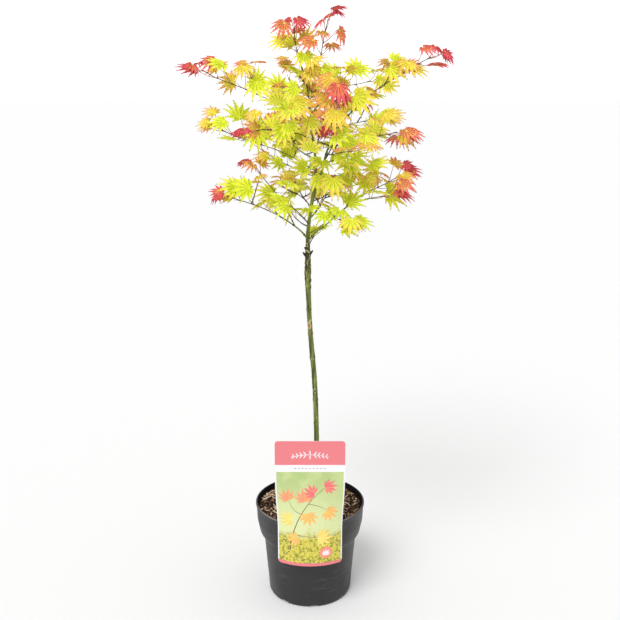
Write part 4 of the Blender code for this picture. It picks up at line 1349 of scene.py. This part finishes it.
def slab(rows, look_of):
    """A closed thin sheet from rows of (front point, back point) pairs, with its faces' looks."""
    columns = len(rows[0])
    points = [pair[0] for row in rows for pair in row]
    back = len(points)
    points += [pair[1] for row in rows for pair in row]
    faces, looks = [], []
    for i in range(len(rows) - 1):
        for j in range(columns - 1):
            a = i * columns + j
            b, c, d = a + 1, a + columns + 1, a + columns
            faces += [(a, b, c, d), (back + a, back + d, back + c, back + b)]
            looks += [look_of(i, j), 1]
    edge = list(range(columns))
    edge += [i * columns + columns - 1 for i in range(1, len(rows))]
    edge += [(len(rows) - 1) * columns + j for j in range(columns - 2, -1, -1)]
    edge += [i * columns for i in range(len(rows) - 2, 0, -1)]
    for a, b in zip(edge, edge[1:] + edge[:1]):
        faces.append((b, a, back + a, back + b))
        looks.append(1)
    return points, faces, looks


def card_sheet(settings):
    """The card: pink header and foot, a white stripe and margins, and the picture's own field."""
    marks = [settings.band_top, settings.stripe_foot, settings.header_foot]
    heights = spread(CARD_ROWS, CARD_FOOT, CARD_TOP) + [mark / MM for mark in marks]
    for step in CORNER_STEPS:
        heights += [CARD_FOOT + step, CARD_TOP - step]
    heights.sort()
    margin = settings.margin / MM
    shares = [-1.0] + spread(CARD_COLUMNS, -1 + margin / CARD_HALF, 1 - margin / CARD_HALF) + [1.0]
    rows = []
    for height in heights:
        reach = min(height - CARD_FOOT, CARD_TOP - height, CARD_CORNER)
        inset = CARD_CORNER - math.sqrt(CARD_CORNER ** 2 - (CARD_CORNER - reach) ** 2)
        half = CARD_HALF - inset
        rows.append([
            (card_point(half * part, height, 0.0), card_point(half * part, height, CARD_THICK))
            for part in shares
        ])

    def look_of(row, column):
        """The look of the face in a row and column: header, white or picture."""
        middle = (heights[row] + heights[row + 1]) / 2 * MM
        if middle > settings.header_foot or middle < settings.band_top:
            return 0
        if middle > settings.stripe_foot or column in (0, len(shares) - 2):
            return 1
        return 2

    made = Heap()
    made.add(*slab(rows, look_of))
    return made


def card_strip():
    """The plain strip behind the card that holds it in the pot."""
    rows = []
    for height in spread(20, STRIP_FOOT, STRIP_TOP):
        lean = smooth_step(STRIP_STRAIGHT_TO, STRIP_TOP, height)
        row = []
        for across in spread(8, -STRIP_HALF, STRIP_HALF):
            inner = math.sqrt(STRIP_RADIUS ** 2 - across ** 2)
            outer = -card_point(across, height, CARD_THICK - 0.1).y / MM
            front = inner + lean * (outer - inner)
            row.append((Vector((across, -front, height)) * MM,
                        Vector((across, CARD_THICK - front, height)) * MM))
        rows.append(row)
    return slab(rows, lambda row, column: 1)


def on_card(across, height, lift):
    """A point just in front of the card's printed side."""
    return card_point(across, height, -PRINT_LIFT - lift)


def print_lobe(made, root, bearing, reach, lift, tones):
    """A slim printed shape with a light and a dark side, from its root out to its tip."""
    ahead = Vector((math.cos(bearing), math.sin(bearing)))
    aside = Vector((-ahead.y, ahead.x))
    for sign, tone in zip((1, -1), tones):
        points = []
        for far in spread(PRINT_STEPS + 1, 0.0, 1.0):
            wide = 0.13 * math.sin(math.pi * far ** 0.85) ** 1.2
            for part in (0.0, sign * wide):
                point = root + (ahead * far + aside * part) * reach
                points.append(on_card(point.x, point.y, lift))
        faces = [(a, a + 2, a + 3, a + 1) for a in range(0, 2 * PRINT_STEPS, 2)]
        made.add(points, [face[::sign] for face in faces], tone)


def print_leaf(made, across, height, size, turn, lift, tones):
    """A star leaf printed on the card: size in millimetres, turn in degrees from upright."""
    root = Vector((across, height))
    for index in (-3, 3, -2, 2, -1, 1, 0):
        bearing = math.radians(90.0 + turn + 27.0 * index)
        reach = size * (1.0, 0.95, 0.82, 0.6)[abs(index)]
        print_lobe(made, root, bearing, reach, lift - 0.002 * abs(index), tones)


def print_line(made, course, width, tone):
    """A thin printed line through (across, height) points."""
    points = []
    for index, (across, height) in enumerate(course):
        before = Vector(course[max(index - 1, 0)])
        after = Vector(course[min(index + 1, len(course) - 1)])
        ahead = (after - before).normalized()
        half = width * (1 - 0.6 * index / (len(course) - 1)) / 2
        for side in (-1, 1):
            x, z = across - side * ahead.y * half, height + side * ahead.x * half
            points.append(on_card(x, z, -LINE_SINK))
    faces = [(2 * i, 2 * i + 1, 2 * i + 3, 2 * i + 2) for i in range(len(course) - 1)]
    made.add(points, faces, tone)


def arc_of(first, bend, last, count=16):
    """Points of a curve from first to last, pulled towards bend."""
    made = []
    for t in spread(count, 0.0, 1.0):
        a, b, c = (1 - t) ** 2, 2 * t * (1 - t), t * t
        made.append(tuple(a * p + b * q + c * r for p, q, r in zip(first, bend, last)))
    return made


def print_disc(made, across, height, radius, lift, tone):
    """A printed round spot."""
    for step in range(24):
        bearing = 2 * math.pi * step / 24
        points = [(0.0, 0.0)]
        for far in (0.34, 0.67, 1.0):
            for turn in (bearing, bearing + math.pi / 12):
                points.append((radius * far * math.cos(turn), radius * far * math.sin(turn)))
        points = [on_card(across + x, height + z, lift) for x, z in points]
        made.add(points, [(0, 1, 2), (1, 3, 4, 2), (3, 5, 6, 4)], tone)


def card_print():
    """A plain picture of its own: a curving shoot hung with star leaves, and a sprig above it."""
    made = Heap()
    white, twig, coral, rose, orange, amber, yellow = range(7)
    shoot = arc_of((-34, 122), (-26, 196), (24, 238), 24)
    print_line(made, shoot, 1.8, twig)
    for start, bend, end, width in (
        (5, (-8, 150), (12, 148), 1.1),
        (12, (-32, 196), (-34, 214), 1.0),
        (16, (18, 206), (26, 198), 1.0),
    ):
        print_line(made, arc_of(shoot[start], bend, end), width, twig)
    hot, warm, golden, pale = (rose, coral), (coral, orange), (orange, amber), (amber, yellow)
    leaves = (
        (-31, 178, 24, 80, pale),
        (-4, 192, 25, -170, golden),
        (14, 148, 27, -95, pale),
        (-20, 146, 22, 110, golden),
        (27, 196, 24, -130, golden),
        (-35, 216, 23, 30, warm),
        (-8, 214, 25, 12, warm),
        (8, 228, 22, 60, hot),
        (25, 239, 22, -80, hot),
    )
    for index, (across, height, size, turn, tones) in enumerate(leaves):
        print_leaf(made, across, height, size, turn, 0.02 * index, tones)
    print_disc(made, 27, 119, 10.5, 0.1, coral)
    print_leaf(made, 27, 114, 12, 0, 0.12, (white, white))
    print_line(made, arc_of((-31, 293), (0, 301.4), (31, 293), 24), 1.3, white)
    for step in range(-4, 5):
        root = Vector((step * 6.4, 297.2 - 0.17 * step * step))
        for side in (-1, 1):
            bearing = math.radians((90 - 38 * (step > 0) + 38 * (step < 0)) * side)
            print_lobe(made, root, bearing, 8.5 - 0.6 * abs(step), 0.0, (white, white))
    for step in range(-4, 5):
        print_lobe(made, Vector((step * 6.0 - 2.0, 273.2)), 0.0, 4.0, 0.0, (twig, twig))
    return made


# Wood that shows: smooth courses, swollen at their nodes.
def smooth_course(points, radii, step, comes_from=None, goes_to=None):
    """A course drawn as a smooth curve through its own points, with its radii."""
    count = len(points)
    made, sizes = [], []
    for i in range(count - 1):
        before = points[i - 1] if i else comes_from or points[0] * 2 - points[1]
        after = points[i + 2] if i + 2 < count else goes_to or points[-1] * 2 - points[-2]
        a, b = points[i], points[i + 1]
        pieces = max(1, round((b - a).length / step))
        for k in range(pieces):
            t = k / pieces
            bend = (2 * before - 5 * a + 4 * b - after) * t * t
            bend += (3 * a - 3 * b + after - before) * t ** 3
            made.append((2 * a + (b - before) * t + bend) / 2)
            sizes.append(radii[i] + (radii[i + 1] - radii[i]) * t)
    return made + [points[-1]], sizes + [radii[-1]]


def drawn_tube(made, points, radii, sides, looks, relief=0.0, is_ringed=()):
    """A closed tube with bark relief. is_ringed marks a node's rings, which take the next look."""
    vertices = []
    for point, radius, (_, corners) in zip(points, radii, ring_corners(points, sides)):
        for out in corners:
            wide = radius
            if relief:
                spot = point + out * radius
                grain = noise.noise(Vector((spot.x * 900, spot.y * 900, spot.z * 160)))
                lumps = noise.noise(spot * 140)
                knots = math.exp(-(((spot.z / MM - GRAFT_HEIGHT) / GRAFT_REACH) ** 2))
                knots *= GRAFT_RELIEF * noise.noise(spot * 260)
                wide += relief * (0.6 * grain + 0.8 * lumps + knots)
            vertices.append(point + out * wide)
    tones = [looks[0]]
    for ring in range(len(points) - 1):
        tones += [looks[1] if is_ringed and is_ringed[ring] else looks[0]] * sides
    made.add(vertices, tube_faces(len(points), sides), tones + [looks[0]])


def with_nodes(points, radii, nodes, swell, width):
    """The radii swollen at the nodes, and which rings are the nodes' own. Width in millimetres."""
    sizes, ringed = [], []
    width *= MM
    for place, radius in zip(distances(points), radii):
        near = max([math.exp(-(((place - node) / width) ** 2)) for node in nodes], default=0.0)
        sizes.append(radius * (1.0 + swell * near))
        ringed.append(near > 0.45)
    return sizes, ringed


def at_height(course, height):
    """The middle, heading and radius of the stem at a height in millimetres."""
    for index, (lower, upper) in enumerate(zip(course[0], course[0][1:])):
        if upper.z >= height * MM:
            return between(course, index, (height * MM - lower.z) / (upper.z - lower.z))
    raise ValueError(f"the stem does not reach {height} mm")


def drawn_scar(made, course, height, turn, size, tilt, looks):
    """A scar on the stem: a low rim round a hollow, as (along, across, out) in millimetres."""
    middle, ahead, radius = at_height(course, height)
    facing = round_way(turn)
    facing = (facing - ahead * facing.dot(ahead)).normalized()
    aside = ahead.cross(facing)
    lean = Matrix.Rotation(math.radians(tilt), 3, facing)
    along_it, across_it = lean @ ahead, lean @ aside
    vertices = []
    for far, lift in SCAR_RINGS:
        for step in range(SCAR_STEPS):
            bearing = 2 * math.pi * step / SCAR_STEPS
            wobble = 1.0 + 0.16 * noise.noise(Vector((height, turn, 2.6 * bearing)))
            offset = along_it * size[0] * math.cos(bearing)
            offset += across_it * size[1] * math.sin(bearing)
            offset *= far * wobble * MM / 2
            side = offset.dot(aside)
            drop = radius - math.sqrt(max(radius * radius - side * side, 0.04 * radius * radius))
            vertices.append(middle + offset + facing * (radius - drop + lift * size[2] * MM))
    foot, *walls, hollow = tube_faces(len(SCAR_RINGS), SCAR_STEPS)
    faces = [foot[::-1]] + [(b, a, d, c) for a, b, c, d in walls] + [hollow[::-1]]
    rim = 1 + RIM_RINGS * SCAR_STEPS
    made.add(vertices, faces, [looks[0]] * rim + [looks[1]] * (len(faces) - rim))


def grows_on(name):
    """The first point of the spray that carries a limb on from its tip, if there is one."""
    for parent, where, *_, course in SPRAYS.values():
        if parent == name and where == 1.0:
            return Vector(course[0]) * MM
    return None


def drawn_stem(made, courses, relief):
    """The trunk and the leader that carries it on, as one round, with the trunk's scars."""
    stem, radii = courses["trunk"]
    lead, lead_radii = courses["leader_left"]
    points, sizes = smooth_course(
        stem + lead[1:], radii + lead_radii[1:], STEM_STEP * MM, None, grows_on("leader_left")
    )
    nodes = [(height - TRUNK[0][2]) * MM for height in STEM_NODES]
    sizes, _ = with_nodes(points, sizes, nodes, *STEM_SWELL)
    drawn_tube(made, points, sizes, STEM_SIDES, (0, 0), relief)
    for scar in SCARS:
        drawn_scar(made, courses["trunk"], *scar)


def drawn_limb(made, courses, name, relief):
    """The other leader or a bough, from inside the limb that it leaves."""
    points, radii = courses[name]
    parent, where = LIMBS[name][:2]
    root, _, _ = along(courses[parent], where)
    kind = LEADER if name == "leader_right" else BOUGH
    spacing, swell, roughness, sides, look = kind
    radii = [radii[0] * LIMB_FLARE] + list(radii[1:])
    points, radii = smooth_course([root] + points[1:], radii, TWIG_STEP * MM, None, grows_on(name))
    spacing *= MM
    nodes = [spacing * (0.45 + k) for k in range(int(distances(points)[-1] / spacing + 0.6))]
    radii, ringed = with_nodes(points, radii, nodes, swell, 0.9)
    drawn_tube(made, points, radii, sides, (look, 2), relief * roughness, ringed)


def drawn_spur(made, course, side, height, length, relief):
    """A cut spur on the swelling, bent up a little at its end."""
    portion = (height - TRUNK[0][2]) / (TRUNK[-1][2] - TRUNK[0][2])
    root, _, _ = along(course, portion)
    out = Vector((side * 0.7, -0.2, 0.7)).normalized()
    points = []
    for far in spread(len(SPUR_OUTLINE), 0.0, 1.0):
        points.append(root + out * length * MM * far + UP * 1.6 * MM * far ** 3)
    sizes = [STUB_RADIUS * MM * part for part in SPUR_OUTLINE]
    ringed = [ring > SPUR_COLLAR for ring in range(len(points))]
    drawn_tube(made, points, sizes, 12, (0, 2), relief, ringed)


def drawn_wood(courses, settings):
    """The stem, leaders, boughs and spurs as one mesh."""
    made = Heap()
    drawn_stem(made, courses, settings.relief)
    for name in courses:
        if name not in ("trunk", "leader_left"):
            drawn_limb(made, courses, name, settings.relief)
    for spur in SPURS:
        drawn_spur(made, courses["trunk"], *spur, settings.relief)
    return made


# The finishes. Each grain is (scale, detail, roughness, stretch, low, high): cloudy noise, cut
# to a mask between low and high. Heights and reaches in the looks are in metres, as in the scene.
SCUFF_STREAKS = (26.0, 5.0, 0.62, (1.0, 1.0, 7.0), 0.54, 0.72)
SMEARS = (16.0, 3.0, 0.55, EVEN, 0.42, 0.68)
CRUMB_TONES = (260.0, 4.0, 0.7, EVEN, 0.42, 0.7)
CHIP_FIBRES = (520.0, 4.0, 0.65, (1.0, 0.5, 1.6), 0.36, 0.66)
PICTURE_CLOUD = (38.0, 2.0, 0.55, EVEN, 0.40, 0.66)
PICTURE_DABS = (210.0, 4.0, 0.7, EVEN, 0.44, 0.60)
STEM_PATCHES = (85.0, 5.0, 0.62, (1.0, 1.0, 0.3), 0.44, 0.66)
STEM_GROOVES = (250.0, 2.0, 0.5, (1.0, 1.0, 0.06), 0.50, 0.58)
STEM_RIDGES = (215.0, 2.0, 0.5, (1.0, 1.0, 0.08), 0.54, 0.64)
GRAFT_CRACKS = (230.0, 3.0, 0.6, (1.0, 1.0, 0.45), 0.52, 0.60)
CORK_FLECKS = (900.0, 3.0, 0.6, EVEN, 0.42, 0.66)
BARK_STREAKS = (300.0, 3.0, 0.6, (1.0, 1.0, 0.35), 0.38, 0.68)


def plastic_look(settings):
    """Dark moulded plastic with a fine grain, pale scuffs round it and a painted highlight along
    the front of the rim.
    """
    look = Look("moulded_plastic", settings.plastic, settings.roughness, 0.4)
    grain = look.speckle(1400.0, 2.0)
    streaks = look.flecks(SCUFF_STREAKS)
    smears = look.flecks(SMEARS)
    film = streaks * settings.scuffs * (0.35 + 0.65 * smears)
    # Painted highlight: a pale band just under the rim's top, on the front side only.
    top = POT_OUTER[0][1] * MM
    rim = look.rise(look.axis(2), top - 0.002, top - 0.0006)
    front_rim_highlight = rim * (1.0 - look.rise(look.axis(1), -0.07, -0.01))
    tone = look.blend(film, settings.plastic, settings.dust)
    look.paint(front_rim_highlight * (0.4 + 0.5 * smears), tone, settings.rim_highlight)
    look.feed("Roughness", settings.roughness + 0.14 * smears + 0.12 * (grain - 0.5))
    look.bump(0.6 * grain + 0.4 * streaks, 0.00025, 0.5)
    return look.material


def pot_inside_look(settings):
    """The same plastic on the inner side, painted near black as the shade inside the pot."""
    look = Look("pot_inside", settings.inside, 0.7, 0.15)
    look.feed("Roughness", 0.6 + 0.2 * look.speckle(60.0))
    return look.material


def compost_look(settings):
    """Damp crumbs between the chips, near black, partly painted shade between them."""
    look = Look("compost_crumbs", settings.damp, 0.95, 0.2)
    crumbs = look.cells(420.0)
    look.paint(look.flecks(CRUMB_TONES), settings.damp, settings.dark)
    look.bump(1.0 - crumbs, 0.0015)
    return look.material


def chip_look(name, tone, dark):
    """Bark with darker fibres along it."""
    look = Look(name, tone, 0.85, 0.25)
    fibres = look.flecks(CHIP_FIBRES)
    look.paint(fibres, dark, tone)
    look.bump(fibres, 0.0006, 0.7)
    return look.material


def card_look(name, tone):
    """Printed card with a slight sheen and a few worn specks."""
    look = Look(name, tone, 0.36)
    wear = look.speckle(90.0, 3.0)
    look.feed("Roughness", 0.3 + 0.16 * wear)
    paler = tuple(0.93 * part + 0.05 for part in tone)
    look.paint(look.rise(wear, 0.55, 0.8) * 0.5, tone, paler)
    look.bump(look.speckle(900.0, 2.0), 0.00005, 0.3)
    return look.material


def picture_look(settings):
    """The picture's field: soft green at the top, paler halfway, speckled planting at the foot."""
    look = Look("card_picture", settings.mist, 0.34)
    height = look.axis(2)
    field = look.blend(look.rise(height, 0.174, 0.266), settings.mist, settings.sky)
    field = look.blend(look.flecks(PICTURE_CLOUD) * 0.4, field, settings.mist)
    planting = look.blend(look.flecks(PICTURE_DABS), settings.hedge, settings.shade)
    edge = look.rise(height + 0.030 * look.speckle(45.0, 3.0), 0.176, 0.156)
    look.paint(edge, field, planting)
    look.bump(look.speckle(900.0, 2.0), 0.00005, 0.3)
    return look.material


def stem_look(settings):
    """The stem's bark: olive below, browner at the graft, dark just above it, green at the fork."""
    look = Look("stem_bark", settings.stem, 0.6, 0.3)
    height = look.axis(2)
    patches = look.flecks(STEM_PATCHES)
    tone = look.blend(patches * 0.75, settings.stem, settings.weathered)
    tone = look.banded(tone, height, (
        (0.549, 0.570, 0.80, settings.graft), (0.590, 0.610, 0.85, settings.scion),
        (0.622, 0.654, 0.85, settings.young), (0.760, 0.860, 0.85, settings.bough),
    ))
    below = look.rise(height, 0.650, 0.600)
    grooves = look.flecks(STEM_GROOVES)
    ridges = look.flecks(STEM_RIDGES)
    tone = look.blend(ridges * below * 0.7, tone, settings.sheen)
    tone = look.blend(grooves * below * 0.92, tone, settings.streak)
    tone = look.blend(ridges * (1.0 - below) * 0.6, tone, settings.sheen)
    tone = look.blend(grooves * (1.0 - below) * 0.8, tone, settings.scion)
    swollen = look.rise(height, 0.545, 0.562) * look.rise(height, 0.640, 0.615)
    tone = look.blend(look.flecks(GRAFT_CRACKS) * swollen * 0.8, tone, settings.crack)
    pores = look.rise(look.cells(700.0, (1.0, 1.0, 0.7)), 0.30, 0.12)
    tone = look.blend(pores * 0.35, tone, settings.node)
    look.feed("Base Color", tone)
    look.feed("Roughness", 0.52 + 0.2 * patches)
    look.bump(look.speckle(500.0, 5.0, 0.65, (1.0, 1.0, 0.25)) - 0.5 * grooves, 0.0006, 0.8)
    return look.material


def cork_look(name, tone, dark):
    """Dry cork or bared wood of a scar."""
    look = Look(name, tone, 0.8, 0.2)
    flecks = look.flecks(CORK_FLECKS)
    look.paint(flecks * 0.5, tone, dark)
    look.bump(flecks, 0.0003, 0.6)
    return look.material


def bough_look(settings):
    """Green bark near the stem that darkens outward, with faint streaks along it."""
    look = Look("bough_bark", settings.bough, 0.6, 0.25)
    level = {0: look.place((1.0, 1.0, 0.0))}
    outward = look.node("ShaderNodeVectorMath", {"operation": "LENGTH"}, level, 1)
    tone = look.blend(look.rise(outward, 0.018, 0.075), settings.young, settings.bough)
    streaks = look.flecks(BARK_STREAKS)
    look.paint(streaks * 0.45, tone, settings.scion)
    look.bump(streaks, 0.0002, 0.5)
    return look.material


def bark_look(name, tone, roughness):
    """Thin smooth bark with faint lengthways colour."""
    look = Look(name, tone, roughness, 0.3)
    streaks = look.flecks(BARK_STREAKS)
    paler = tuple(min(part * 1.8 + 0.004, 1.0) for part in tone)
    look.paint(streaks, tone, paler)
    look.bump(streaks, 0.0002, 0.5)
    return look.material


# The crown: grown as the solids are, then drawn leaf by leaf.
def grown_sprays():
    """What carries sprays, and each spray's name, carrier, place, stem, leaves and slot."""
    courses, feet = limb_courses()
    taken = Space(
        tube(points, [radius + GAP for radius in radii], LIMB_SIDES, feet[name])
        for name, (points, radii) in courses.items()
    )
    carriers = dict(courses)
    stems = [rooted(courses[spray[0]], spray[1], spray[-1]) for spray in SPRAYS.values()]
    sprays = []
    for (name, spray), (stem, foot) in zip(SPRAYS.items(), stems):
        to_come = Space(roomy_stem(*other) for other in stems[len(sprays) + 1:])
        leaves = grow_leaves(spray[2:6], stem, (taken, to_come))
        take_spray(taken, stem, foot, leaves)
        carriers[name] = (stem, [TWIG_FOOT * MM * 0.8] * len(stem))
        sprays.append((name, *spray[:2], stem, leaves, slot_of(leaves)))
    for parent, shoots in SHOOTS.items():
        for share, *shoot in shoots:
            stem, leaves = grow_shoot(carriers[parent], taken, share, *shoot)
            sprays.append(("", parent, share, stem, leaves, slot_of(leaves)))
    return carriers, sprays


def slot_of(leaves):
    """The slot of a spray, by the middling tint of its leaves."""
    return SLOTS[level_of(sum(leaf["tint"] for leaf in leaves) / len(leaves), SLOT_MARKS)]


def grow_shoot(carrier, taken, share, bearing, rise, length, size, tint, seeds):
    """A short shoot with its leaves turned outward, by the same rule, in the room that is left."""
    way = (round_way(bearing) + UP * math.tan(math.radians(rise))).normalized()
    root, _, _ = along(carrier, share)
    first = root + way * length * 0.5 * MM
    last = root + (way + UP * 0.12) * length * MM
    start, foot = start_on(carrier, share, first)
    stem = [start, first, last]
    light = Vector((last.x, last.y, 0.0)).normalized() * SHOOT_LIGHT
    turned = min(tint + SHOOT_TURN, 1.0)
    leaves = grow_leaves((size, tint, turned, seeds), stem, (taken,), light)
    take_spray(taken, stem, foot, leaves)
    return stem, leaves


def drawn_twig(made, carriers, parent, where, stem, leaves):
    """A spray's stem, swollen and dark where its leaves leave it."""
    root, _, radius = along(carriers[parent], where)
    comes_from = carriers[parent][0][-2] if where == 1.0 else None
    foot = min(radius, TWIG_FOOT * MM) if where == 1.0 else TWIG_FOOT * MM * 1.2
    radii = [foot + (0.62 * MM - foot) * part for part in lengths(stem)]
    points, radii = smooth_course([root] + stem[1:], radii, TWIG_STEP * MM, comes_from)
    places = distances(points)
    nodes = []
    for leaf in leaves:
        nearest = min(range(len(points)), key=lambda i: (points[i] - leaf["start"]).length)
        nodes.append(places[nearest])
    radii, ringed = with_nodes(points, radii, nodes, *TWIG_SWELL)
    drawn_tube(made, points, radii, 8, (0, 3), 0.0, ringed)


def drawn_stalk(made, leaf):
    """A leaf's stalk: stout where it clasps the twig, thin, and bent in under the leaf."""
    _, neck, start = stalk_course(leaf)
    hub = leaf["hub"]
    sag = (hub - start).length * 0.06
    middle = start.lerp(neck, 0.5) - UP * sag
    points, radii = smooth_course(
        [start, middle, neck, hub], [0.8 * MM, 0.5 * MM, 0.48 * MM, 0.6 * MM], 2.4 * MM
    )
    radii[0] *= 1.35
    drawn_tube(made, points, radii, 5, (1 if leaf["tint"] > 0.3 else 2, 3))


def twig_looks(settings):
    """The looks of twigs, of outer and inner stalks, and of buds."""
    return [
        bark_look("twig_bark", settings.twig, 0.6),
        bark_look("rose_stalk", settings.rose_stalk, 0.5),
        bark_look("green_stalk", settings.green_stalk, 0.5),
        bark_look("bud", settings.bud, 0.6),
    ]


def leaf_tones(settings):
    """A plain look for each tone of the leaves."""
    looks = []
    for name in LEAF_TONES:
        tone = getattr(settings, name)
        look = Look(f"leaf_{name}", tone, settings.roughness, 0.25)
        looks.append(look.material)
    return looks


# The stage, then the operators, one for each group of pieces. Between the heights of its band
# the sky turns from the pale walls' light to the light from above.
SENSOR_WIDTH = 36.0
KEY_TURN = (40.0, 0.0, -28.0)
SKY_BAND = (0.28, 0.62)


def stood(data, turn):
    """A camera or lamp in the scene, turned its way."""
    item = bpy.data.objects.new(data.name, data)
    item.rotation_euler = turn
    bpy.context.scene.collection.objects.link(item)
    return item


class MAPLE_OT_pot(bpy.types.Operator):
    """Make the nursery pot"""

    bl_idname = "maple.pot"
    bl_label = "Pot"

    def execute(self, context):
        settings = context.scene.maple_pot
        pot = pot_piece()
        for look in (plastic_look(settings), pot_inside_look(settings)):
            pot.data.materials.append(look)
        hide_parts("pot")
        return {"FINISHED"}


class MAPLE_OT_compost(bpy.types.Operator):
    """Fill the pot with bark compost"""

    bl_idname = "maple.compost"
    bl_label = "Compost"

    def execute(self, context):
        settings = context.scene.maple_compost
        bed = compost_surface(settings.heap).piece("compost", [compost_look(settings)])
        looks = []
        for darker, tone in zip(CHIP_TONES, CHIP_TONES[1:]):
            colours = getattr(settings, tone), getattr(settings, darker)
            looks.append(chip_look(f"{tone}_chip", *colours))
        chips = bark_chips(settings).piece("bark_chips", looks, False)
        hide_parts("soil")
        return {"FINISHED"}


class MAPLE_OT_card(bpy.types.Operator):
    """Make the picture card and its print"""

    bl_idname = "maple.card"
    bl_label = "Picture card"

    def execute(self, context):
        settings = context.scene.maple_card
        sheet = card_sheet(settings)
        sheet.add(*card_strip())
        white = card_look("card_white", settings.white)
        looks = [card_look("card_header", settings.header), white, picture_look(settings)]
        card = sheet.piece("card", looks, False)
        card.data.shade_smooth()
        card.data.set_sharp_from_angle(angle=math.radians(40))
        looks = [white]
        for tone in ("twig", "coral", "rose", "orange", "amber", "yellow"):
            looks.append(card_look(f"print_{tone}", getattr(settings, tone)))
        printed = card_print().piece("card_print", looks, False)
        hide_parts("picture_card")
        return {"FINISHED"}


class MAPLE_OT_wood(bpy.types.Operator):
    """Grow the stem, the leaders and the boughs"""

    bl_idname = "maple.wood"
    bl_label = "Stem and boughs"

    def execute(self, context):
        settings = context.scene.maple_bark
        courses, _ = limb_courses()
        looks = [
            stem_look(settings),
            bough_look(settings),
            bark_look("bark_node", settings.node, 0.7),
            cork_look("scar_cork", settings.rim, settings.stem),
            cork_look("peeled_wood", settings.peeled, settings.rim),
            cork_look("cracked_bark", settings.crack, settings.scion),
        ]
        wood = drawn_wood(courses, settings).piece("stem_and_boughs", looks)
        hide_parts(*courses)
        return {"FINISHED"}


class MAPLE_OT_foliage(bpy.types.Operator):
    """Grow the twigs, leaf stalks and leaves"""

    bl_idname = "maple.foliage"
    bl_label = "Leaves and twigs"

    def execute(self, context):
        settings = context.scene.maple_leaf
        carriers, sprays = grown_sprays()
        template, faces, zones = leaf_template(settings)
        tones = leaf_tones(settings)
        twigs = Heap()
        for slot in SLOTS:
            leaves = Heap()
            names = []
            for name, parent, where, stem, blades, look in sprays:
                if look != slot:
                    continue
                if name:
                    names.append(name)
                drawn_twig(twigs, carriers, parent, where, stem, blades)
                for leaf in blades:
                    dice = random.Random(round(leaf["hub"].length * 1e6))
                    tint = leaf["tint"]
                    tint += TURNING.get(name, 0.0) * smooth_step(0.9, 0.7, tint)
                    tone = leaf_looks(tint, dice)
                    drawn_stalk(twigs, leaf)
                    looks = [tone[zone] for zone in zones]
                    leaves.add(drawn_leaf(template, leaf, dice), faces, looks)
            piece = leaves.piece(f"{slot}_leaves", tones)
            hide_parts(*names)
        twigs = twigs.piece("twigs_and_stalks", twig_looks(settings))
        return {"FINISHED"}


class MAPLE_OT_stage(bpy.types.Operator):
    """Set the floor, the lights and the camera"""

    bl_idname = "maple.stage"
    bl_label = "Stage"

    def execute(self, context):
        scene = context.scene
        settings = scene.maple_stage
        bpy.ops.mesh.primitive_circle_add(vertices=96, radius=40.0, fill_type="NGON")
        floor = context.object
        floor.name = "floor"
        floor.data.materials.append(Look("pale_floor", settings.floor, 0.9).material)

        camera = bpy.data.cameras.new("camera")
        camera.lens = settings.lens
        camera.sensor_width = SENSOR_WIDTH
        camera.clip_end = 100.0
        scene.camera = stood(camera, (math.pi / 2 - settings.pitch, 0.0, 0.0))
        scene.camera.location = (0.0, -settings.distance, settings.height)

        light = bpy.data.lights.new("key_light", "SUN")
        light.energy = settings.key
        light.angle = settings.softness
        stood(light, [math.radians(turn) for turn in KEY_TURN])

        scene.world = bpy.data.worlds.new("studio")
        sky = Tree(scene.world, "Background")
        way = {0: sky.node("ShaderNodeTexCoord")}
        height = sky.node("ShaderNodeSeparateXYZ", sockets=way, output=2)
        values = (height, *SKY_BAND, settings.horizon, settings.zenith)
        sky.feed("Color", (1.0, 1.0, 1.0))
        sky.feed("Strength", sky.node("ShaderNodeMapRange", sockets=dict(enumerate(values))))
        scene.view_settings.view_transform = "Standard"
        return {"FINISHED"}


class MAPLE_PT_panel(bpy.types.Panel):
    """Every step of the potted maple"""

    bl_idname = "MAPLE_PT_panel"
    bl_label = "Potted maple"
    bl_space_type = "VIEW_3D"
    bl_region_type = "UI"
    bl_category = "Maple"

    def draw(self, context):
        for step in STEPS:
            self.layout.operator(step.bl_idname)


GROUPS = {
    "maple_pot": PotSettings,
    "maple_compost": CompostSettings,
    "maple_card": CardSettings,
    "maple_bark": BarkSettings,
    "maple_leaf": LeafSettings,
    "maple_stage": StageSettings,
}
STEPS = (
    MAPLE_OT_pot,
    MAPLE_OT_compost,
    MAPLE_OT_card,
    MAPLE_OT_wood,
    MAPLE_OT_foliage,
    MAPLE_OT_stage,
)


def register():
    """Register the classes and hang the settings on the scene."""
    for kind in (*GROUPS.values(), *STEPS, MAPLE_PT_panel):
        bpy.utils.register_class(kind)
    for name, group in GROUPS.items():
        setattr(bpy.types.Scene, name, bpy.props.PointerProperty(type=group))


def unregister():
    """Take back what register adds."""
    for name in GROUPS:
        delattr(bpy.types.Scene, name)
    for kind in reversed((*GROUPS.values(), *STEPS, MAPLE_PT_panel)):
        bpy.utils.unregister_class(kind)


def main():
    """Make every piece and the stage."""
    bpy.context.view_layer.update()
    register()
    bpy.ops.maple.pot()
    bpy.ops.maple.compost()
    bpy.ops.maple.card()
    bpy.ops.maple.wood()
    bpy.ops.maple.foliage()
    bpy.ops.maple.stage()


if __name__ == "__main__":
    main()
